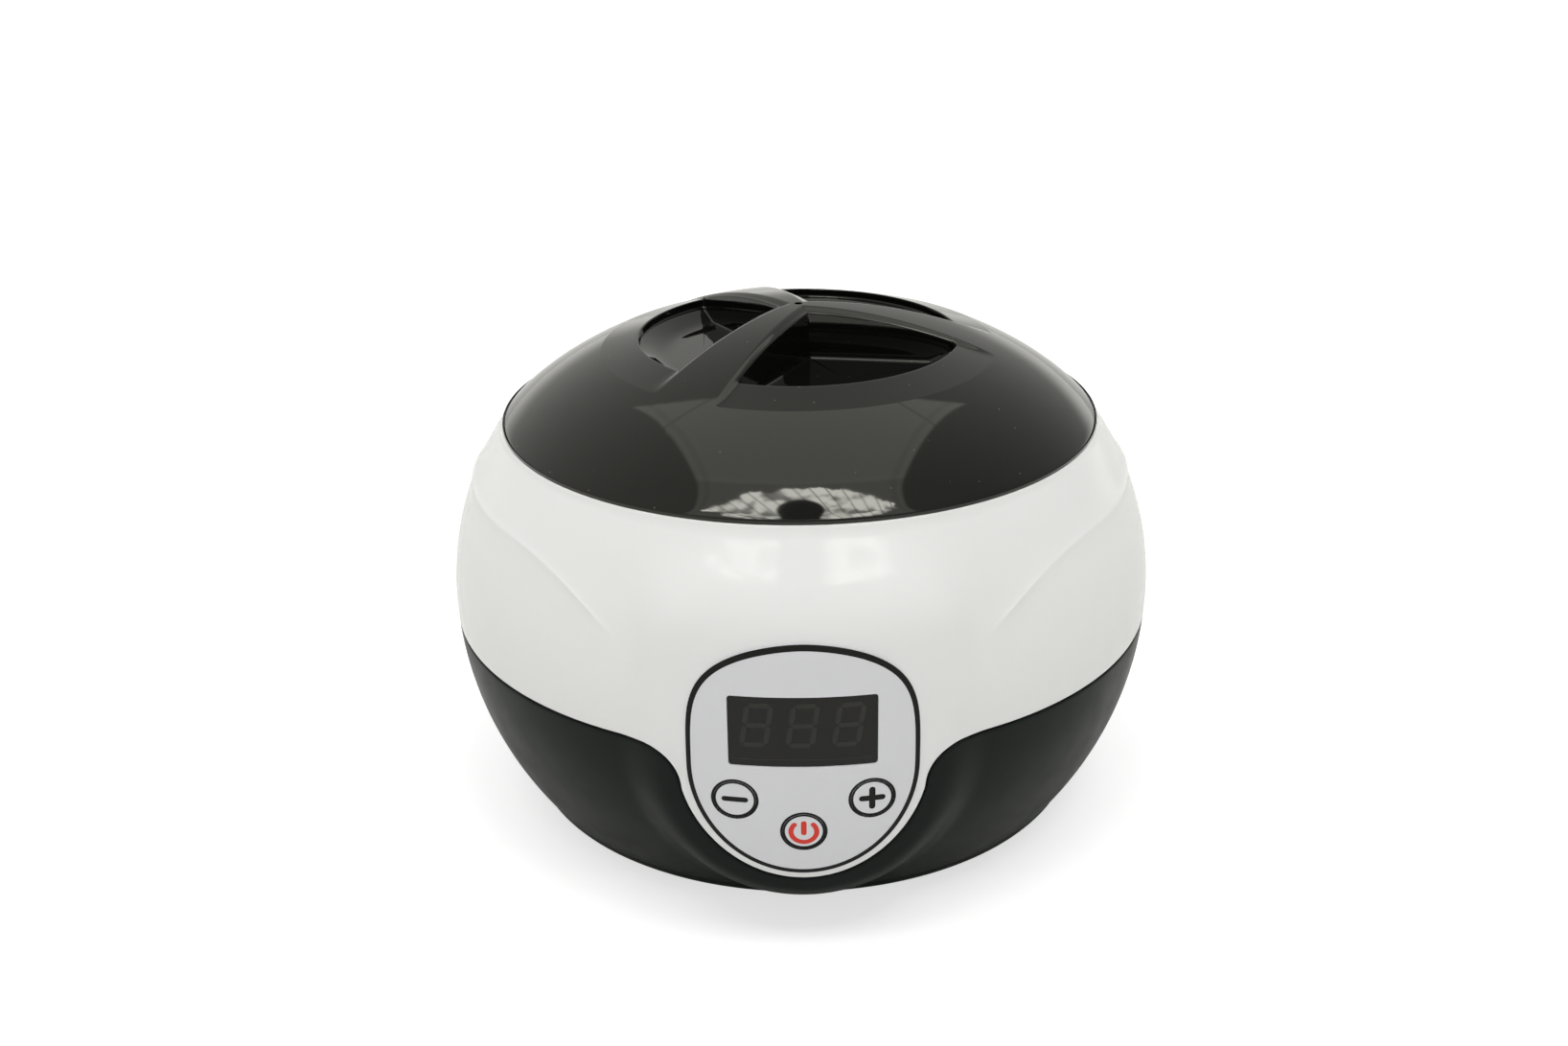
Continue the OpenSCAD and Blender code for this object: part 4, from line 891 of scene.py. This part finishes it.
def plate_mesh(loops, low, high, grid=PLATE_GRID):
    """Closed plate between two lifts over the face. The first loop is its outline."""
    loops = [dense(loop) for loop in loops]
    verts, edges = [], []
    for loop in loops:
        base = len(verts)
        verts += [tuple(p) for p in loop]
        edges += [(base + i, base + (i + 1) % len(loop)) for i in range(len(loop))]
    if grid:
        lo, hi = loops[0].min(0), loops[0].max(0)
        xs = np.arange(lo[0] + grid / 2, hi[0], grid)
        zs = np.arange(lo[1] + grid / 2, hi[1], grid)
        spots = np.array([(x, z) for x in xs for z in zs]).reshape(-1, 2)
        for index, loop in enumerate(loops):
            inside = in_loop(spots, loop)
            far = np.min(np.linalg.norm(spots[:, None] - loop[None], axis=2), axis=1) > grid * GRID_CLEAR
            spots = spots[(inside if index == 0 else ~inside) & far]
        verts += [tuple(p) for p in spots]
    out, _, faces, _, _, _ = delaunay_2d_cdt([Vector(v) for v in verts], edges, [], 0, TINY)
    xz = np.array([tuple(v) for v in out])
    middles = np.array([xz[list(f)].mean(0) for f in faces])
    keep = in_loop(middles, loops[0])
    for loop in loops[1:]:
        keep &= ~in_loop(middles, loop)
    faces = [list(f) for f, k in zip(faces, keep) if k]
    n = len(xz)
    points = np.concatenate([face_points(xz, high), face_points(xz, low)])
    shape = faces + [[n + i for i in reversed(f)] for f in faces]
    # A side that only one face has lies on a loop and gets a wall; the order is kept
    sides = dict.fromkeys((v, w) for f in faces for v, w in zip(f, f[1:] + f[:1]))
    shape += [[w, v, n + v, n + w] for v, w in sides if (w, v) not in sides]
    return points, shape


def dense(loop):
    """A closed outline with extra points, so that long edges follow the curved face."""
    ends = np.roll(loop, -1, 0)
    counts = np.ceil(np.linalg.norm(ends - loop, axis=1) / PLATE_STEP).astype(int)
    return np.concatenate([a + (b - a) * np.arange(n)[:, None] / n
                           for a, b, n in zip(loop, ends, np.maximum(counts, 1))])


def in_loop(points, loop):
    """Which points lie inside a closed outline."""
    x, z = points[:, 0][:, None], points[:, 1][:, None]
    x0, z0 = loop[:, 0][None], loop[:, 1][None]
    x1, z1 = np.roll(loop[:, 0], -1)[None], np.roll(loop[:, 1], -1)[None]
    crosses = (z0 > z) != (z1 > z)
    with np.errstate(divide="ignore", invalid="ignore"):
        at = x0 + (z - z0) * (x1 - x0) / (z1 - z0)
    return (np.sum(crosses & (x < at), axis=1) % 2).astype(bool)


def add_plate(name, stands_for, body, look, loops, low, high, edge, grid=PLATE_GRID):
    """A plate that stands for a CAD node, with its edges rounded."""
    points, faces = plate_mesh(loops, low, high, grid)
    faces = outward(points, faces)
    bevel(make_piece(name, points, faces, body, look, [stands_for], FINE_SHARP_EDGE), edge)


def add_print(name, loops, body="housing", look="print_black", low=FILM_TOP - PRINT_SINK,
              high=FILM_TOP + PRINT_T):
    """A thin plate that is only in this picture: a print on the film, a part of the display, the pale line
    in the window or the painted shade in a key's gap.
    """
    points, faces = plate_mesh(loops, low, high, 0)
    make_piece(name, points, outward(points, faces), body, look, (), FINE_SHARP_EDGE)


def circle(x, z, r, n=64):
    return (x, z) + r * spokes(full_turn(n))


def rounded_box(x, z, w, h, r, n=8):
    """Rectangle with round corners, centred at x, z."""
    points = []
    for cx, cz, start in [(1, 1, 0), (-1, 1, 90), (-1, -1, 180), (1, -1, 270)]:
        for t in np.radians(np.linspace(start, start + 90, n)):
            points.append((x + cx * (w / 2 - r) + r * math.cos(t), z + cz * (h / 2 - r) + r * math.sin(t)))
    return np.array(points)


def arch_reach(across, up):
    """How far the panel's upper curve lies along a direction, as a share of its half sizes."""
    near, far = ARCH_SHARES
    for _ in range(HALVINGS):
        k = (near + far) / 2
        if (across * k) ** ARCH_POWER + (up * k) ** SIDE_POWER > 1:
            far = k
        else:
            near = k
    return k


def panel_outline(inset=0.0, inset_top=0.0, n=160):
    """Half ellipse below and a fuller curve above. The inset grows towards the top."""
    points = []
    for t in full_turn(n):
        c, s = math.cos(t), math.sin(t)
        if s <= 0:
            points.append((PANEL_W / 2 * c, PANEL_Z + PANEL_BOTTOM * s))
        else:
            k = arch_reach(abs(c), s)
            points.append((PANEL_W / 2 * c * k, PANEL_Z + ARCH_TOP * s * k))
    curve = np.array(points)
    if not inset:
        return curve
    d = np.roll(curve, -1, 0) - np.roll(curve, 1, 0)
    inward = np.stack([-d[:, 1], d[:, 0]], -1)
    inward /= np.linalg.norm(inward, axis=1)[:, None]
    up = clamp01((curve[:, 1] - PANEL_Z) / PANEL_TOP) ** 2
    return curve + inward * (inset + (inset_top - inset) * up)[:, None]


def add_overlay():
    window = rounded_box(0, WINDOW_Z, WINDOW_W, WINDOW_H, WINDOW_ROUND)
    holes = [circle(x, z, WELL_R) for x, z in KEYS.values()]
    add_plate("overlay_film", "control_overlay", "housing", "panel_film",
              [panel_outline(), window, *holes], OVERLAY_LIFT, FILM_TOP, OVERLAY_EDGE)
    # Black border round the film's edge, wider towards the top
    border = [panel_outline(BORDER_INSET, BORDER_INSET), panel_outline(BORDER_SIDE, BORDER_TOP)]
    add_print("overlay_border", border)
    lens = rounded_box(0, WINDOW_Z, WINDOW_W - 2 * LENS_PLAY, WINDOW_H - 2 * LENS_PLAY,
                       WINDOW_ROUND - LENS_PLAY)
    add_plate("window_lens", "display_window", "housing", "smoked_lens", [lens], LENS_LOW, LENS_TOP,
              LENS_EDGE)


def segment(cx, cz, length, upright):
    """One bar of a seven-segment digit, with pointed ends."""
    h, t = length / 2, SEGMENT_T / 2
    bar = [(-h, 0), (-h + t, -t), (h - t, -t), (h, 0), (h - t, t), (-h + t, t)]
    if upright:
        bar = [(-v, u) for u, v in bar]
    return np.array([(cx + u, cz + v) for u, v in bar])


def add_digits():
    w, h = DIGIT_W / 2, DIGIT_H / 2
    bars = [(0, z, DIGIT_W - SEGMENT_GAP, False) for z in (h, 0, -h)]
    bars += [(sx * w, sz * h / 2, h - SEGMENT_GAP, True) for sx in (-1, 1) for sz in (-1, 1)]
    unlit, top = "unlit_segment", LENS_TOP + PRINT_T
    for d, middle in enumerate((-DIGIT_PITCH, 0, DIGIT_PITCH)):
        for s, spec in enumerate(bars):
            bar = segment(*spec)
            loop = np.stack([middle + bar[:, 0] + SLANT * bar[:, 1], WINDOW_Z + DIGIT_UP + bar[:, 1]], -1)
            add_print(f"digit_{d}_bar_{s}", [loop], "housing", unlit, DIGIT_LOW, top)
    # A thin line, paler than the lens, across the window near its bottom edge
    line = rounded_box(0, WINDOW_Z - WINDOW_H / 2 + LINE_UP, WINDOW_W - 2 * LINE_SIDE, LINE_T, LINE_ROUND)
    add_print("window_pale_line", [line], "housing", unlit, DIGIT_LOW, top)


def add_keys():
    for name, (x, z) in KEYS.items():
        body = name + "_button"
        add_plate("cap_" + name, "key_" + name, body, "panel_film", [circle(x, z, KEY_D / 2)],
                  FILM_TOP - CAP_T, FILM_TOP, CAP_EDGE, CAP_GRID)
        well = circle(x, z, WELL_R)
        inner_ring = [circle(x, z, KEY_D / 2 - RING_INSET), circle(x, z, RING_IN)]
        add_print("ring_in_" + name, inner_ring, body)
        add_print("ring_out_" + name, [circle(x, z, RING_OUT), well])
        # Painted shade: a black ring in the outer part of the gap between the key and the film's hole
        add_print("gap_shade_" + name, [well, circle(x, z, GAP_SHADE_R)], low=OVERLAY_LIFT,
                  high=FILM_TOP - GAP_SHADE_SINK)
    add_print("sign_minus", [rounded_box(*KEYS["minus"], BAR_L, BAR_T, BAR_ROUND)], "minus_button")
    add_print("sign_plus", [cross_outline(*KEYS["plus"], BAR_L, CROSS_T)], "plus_button")
    x, z = KEYS["power"]
    arc = power_arc(x, z - ARC_DROP, ARC_R, ARC_T, ARC_GAP)
    add_print("sign_power_arc", [arc], "power_button", "print_red")
    bar = rounded_box(x, z + POWER_BAR_UP, POWER_BAR_W, POWER_BAR_H, POWER_BAR_ROUND)
    add_print("sign_power_bar", [bar], "power_button", "print_red")


def cross_outline(x, z, size, thick):
    """Plus sign with round ends."""
    half, r = size / 2, thick / 2
    end = np.array([half - r, 0]) + r * spokes(np.linspace(-np.pi / 2, np.pi / 2, 9))
    arm = np.concatenate([end, [(r, r)]])
    points = []
    for k in range(4):
        c, s = spokes(np.pi / 2 * k)
        points += [(x + c * u - s * v, z + s * u + c * v) for u, v in arm]
    return np.array(points)


def power_arc(x, z, r, stroke, gap):
    """Open ring with round ends and its gap at the top."""
    start, end = math.radians(90 + gap), math.radians(450 - gap)
    outer = r * spokes(np.linspace(start, end, 48))
    inner = (r - stroke) * spokes(np.linspace(end, start, 40))
    half_turn = np.linspace(0, np.pi, 9)[1:-1]
    end_cap = (r - stroke / 2) * spokes(end) + stroke / 2 * spokes(end + half_turn)
    start_cap = (r - stroke / 2) * spokes(start) + stroke / 2 * spokes(start + np.pi + half_turn)
    return (x, z) + np.concatenate([outer, end_cap, inner, start_cap])


# CAD nodes that stay get the record's slots as materials
def dress_nodes():
    for name, node in frame["nodes"].items():
        node.data.materials.clear()
        node.data.materials.append(looks[slots[name]])


# Stage: the object is lit off a pale floor. The camera sees it glow near white, with a soft shadow
FLOOR_R, FLOOR_ROUGH, FLOOR_SHINE = 4000.0, 0.9, 0.1
FLOOR_RGB, SEEN_FLOOR_RGB, SEEN_FLOOR_GLOW = (0.9, 0.9, 0.89), (0.55, 0.555, 0.57), 0.66


def add_floor():
    floor = add_mesh("floor", at_height(FLOOR_R * SQUARE, 0), [(0, 1, 2, 3)])
    material, tree, shader = new_material("floor")
    seen = Value(add_node(tree, "LightPath").outputs["Is Camera Ray"])
    feed(shader["Base Color"], seen.tint(FLOOR_RGB, SEEN_FLOOR_RGB))
    shader["Emission Color"].default_value = (1, 1, 1, 1)
    feed(shader["Emission Strength"], seen * SEEN_FLOOR_GLOW)
    shader["Roughness"].default_value = FLOOR_ROUGH
    shader["Specular IOR Level"].default_value = FLOOR_SHINE
    floor.data.materials.append(material)


# Light tent by direction: u to the right and v to the back say where a ray meets a plane overhead.
# A pair of numbers is where an edge begins and where it ends, and two more are its levels there.
TENT_LEVEL, LIGHT_RGB, LOWEST = 0.8, (1.0, 0.995, 0.955), 0.05
WALL_LEVEL, WALL_LEAN, WALL_BACK = 0.53, -0.15, 0.25
BACK_SIDE, BACK_GLOW = (-0.1, 0.4), (0.18, 0.0, 0.0, 0.6)
RIGHT_SIDE, RIGHT_GLOW = (0.2, 0.6), (0.2, 0.05, 0.0, 0.6)
OVERHEAD = (0.1, 0.2)
# Panel overhead: how much its sides and its back bow, its edges, its folds and its seams
SIDE_BOW_BACK, SIDE_BOW_FRONT, BACK_BOW = 0.33, 1.3, 0.67
PANEL_SIDE, PANEL_CAP = (0.435, 0.415), (0.735, 0.715)
PANEL_BACK, PANEL_FRONT = (0.565, 0.545), (-0.62, -0.58)
FOLD_V, FOLD_BOW = 0.105, 0.59
FOLD_STEP, FOLD_RIDGE = (-0.02, 0.01, 1.15, 1.5), (0.05, 0.0, 0.0, 0.12)
SEAM_IN, SEAM_OUT, SEAM_DARK, CREASE_DARK = (0.36, 0.375), (0.4, 0.385), 0.4, -0.4
CORNER_U, CORNER_V, CORNER_DIRECTION = 0.33, 0.6, (0.54, 0.84)
CORNER_IN, CORNER_OUT = (-0.012, 0.0), (0.016, 0.004)
# Lamp in front: a bright folded curtain with a ragged edge and a dark round opening
LAMP_AT, LAMP_HALF, LAMP_EDGE, RAGGED_SCALE, RAGGED = (0.02, -0.36), (0.47, 0.21), (1.62, 1.5), 11.0, 1.1
HOLE_AT, HOLE_HALF, HOLE_RIM = (0.0, -0.345), (0.11, 0.105), (0.85, 1.15)
SLIT_SIDE, SLIT_TOP = (0.095, 0.115), (-0.34, -0.35)
CURTAIN_SLANT, CURTAIN_PITCH, CURTAIN_FOLD = 0.48, 0.066, (0.02, 0.09, 4.0, 13.0)
CURTAIN_PATCHES, CURTAIN_LEAST = (0.62, 0.4, 0.25, 1.0), 0.25


def ellipse(u, v, at, half):
    """1 on the edge of an ellipse, less inside."""
    across, up = (u - at[0]) / half[0], (v - at[1]) / half[1]
    return across * across + up * up


def panel_overhead(u, v):
    """Light panel over the object with drawn-in sides: its mask and its strength."""
    back, front = v.calc("MAXIMUM", 0.0), v.calc("MINIMUM", 0.0)
    wide = abs(u)
    side = wide - (back * back * SIDE_BOW_BACK + front * front * SIDE_BOW_FRONT)
    square = u * u
    mask = side.fade(*PANEL_SIDE) * (v - square * BACK_BOW).fade(*PANEL_BACK)
    mask = mask * v.fade(*PANEL_FRONT) * wide.fade(*PANEL_CAP)
    fold = v + (FOLD_V - square * FOLD_BOW)
    strength = fold.fade(*FOLD_STEP) + fold.fade(*FOLD_RIDGE)
    seam = side.fade(*SEAM_IN) * side.fade(*SEAM_OUT)
    across = (wide - CORNER_U) * CORNER_DIRECTION[0] + (v - CORNER_V) * CORNER_DIRECTION[1]
    corner = across.fade(*CORNER_IN) * across.fade(*CORNER_OUT)
    return mask, strength + (seam * SEAM_DARK).calc("MAXIMUM", corner) * CREASE_DARK


def front_lamp(u, v, where):
    """The lamp's mask and its strength."""
    uneven = Value(add_node(u.tree, "TexNoise", {"Vector": where, "Scale": RAGGED_SCALE}).outputs["Fac"])
    mask = (ellipse(u, v, LAMP_AT, LAMP_HALF) + uneven * RAGGED).fade(*LAMP_EDGE)
    beside = abs(u).fade(*SLIT_SIDE).calc("MAXIMUM", 1.0 - v.fade(*SLIT_TOP))
    clear = ellipse(u, v, HOLE_AT, HOLE_HALF).fade(*HOLE_RIM).calc("MINIMUM", beside)
    turn = ((u + v * CURTAIN_SLANT) / CURTAIN_PITCH).calc("FRACT")
    bright = clear * abs(turn - 0.5).fade(*CURTAIN_FOLD) * uneven.fade(*CURTAIN_PATCHES)
    return mask, bright + CURTAIN_LEAST


def add_world():
    """Pale walls, the panel overhead and the lamp in front, and plain white for the camera."""
    world = bpy.data.worlds.new("studio")
    world.use_nodes = True
    tree = world.node_tree
    shade = tree.nodes["Background"].inputs
    where = add_node(tree, "TexCoord").outputs["Generated"]
    x, y, z = map(Value, add_node(tree, "SeparateXYZ", {"Vector": where}).outputs)
    up = z.calc("MAXIMUM", LOWEST)
    u, v = x / up, y / up
    level = x * WALL_LEAN + WALL_LEVEL + y.calc("MAXIMUM", 0.0) * WALL_BACK
    level = level + z.fade(*BACK_GLOW) * y.fade(*BACK_SIDE) + x.fade(*RIGHT_SIDE) * z.fade(*RIGHT_GLOW)
    for mask, strength in (panel_overhead(u, v), front_lamp(u, v, where)):
        level = level + mask * z.fade(*OVERHEAD) * (strength - level)
    level = level * TENT_LEVEL
    seen = Value(add_node(tree, "LightPath").outputs["Is Camera Ray"])
    feed(shade["Color"], seen.tint(LIGHT_RGB, (1, 1, 1)))
    feed(shade["Strength"], level + seen * (1.0 - level))
    bpy.context.scene.world = world


def main():
    add_camera()
    dress_nodes()
    add_upper_shell()
    add_lower_shell()
    add_lid()
    add_overlay()
    add_digits()
    add_keys()
    add_floor()
    add_world()
    bpy.context.scene.view_settings.view_transform = "Standard"


main()
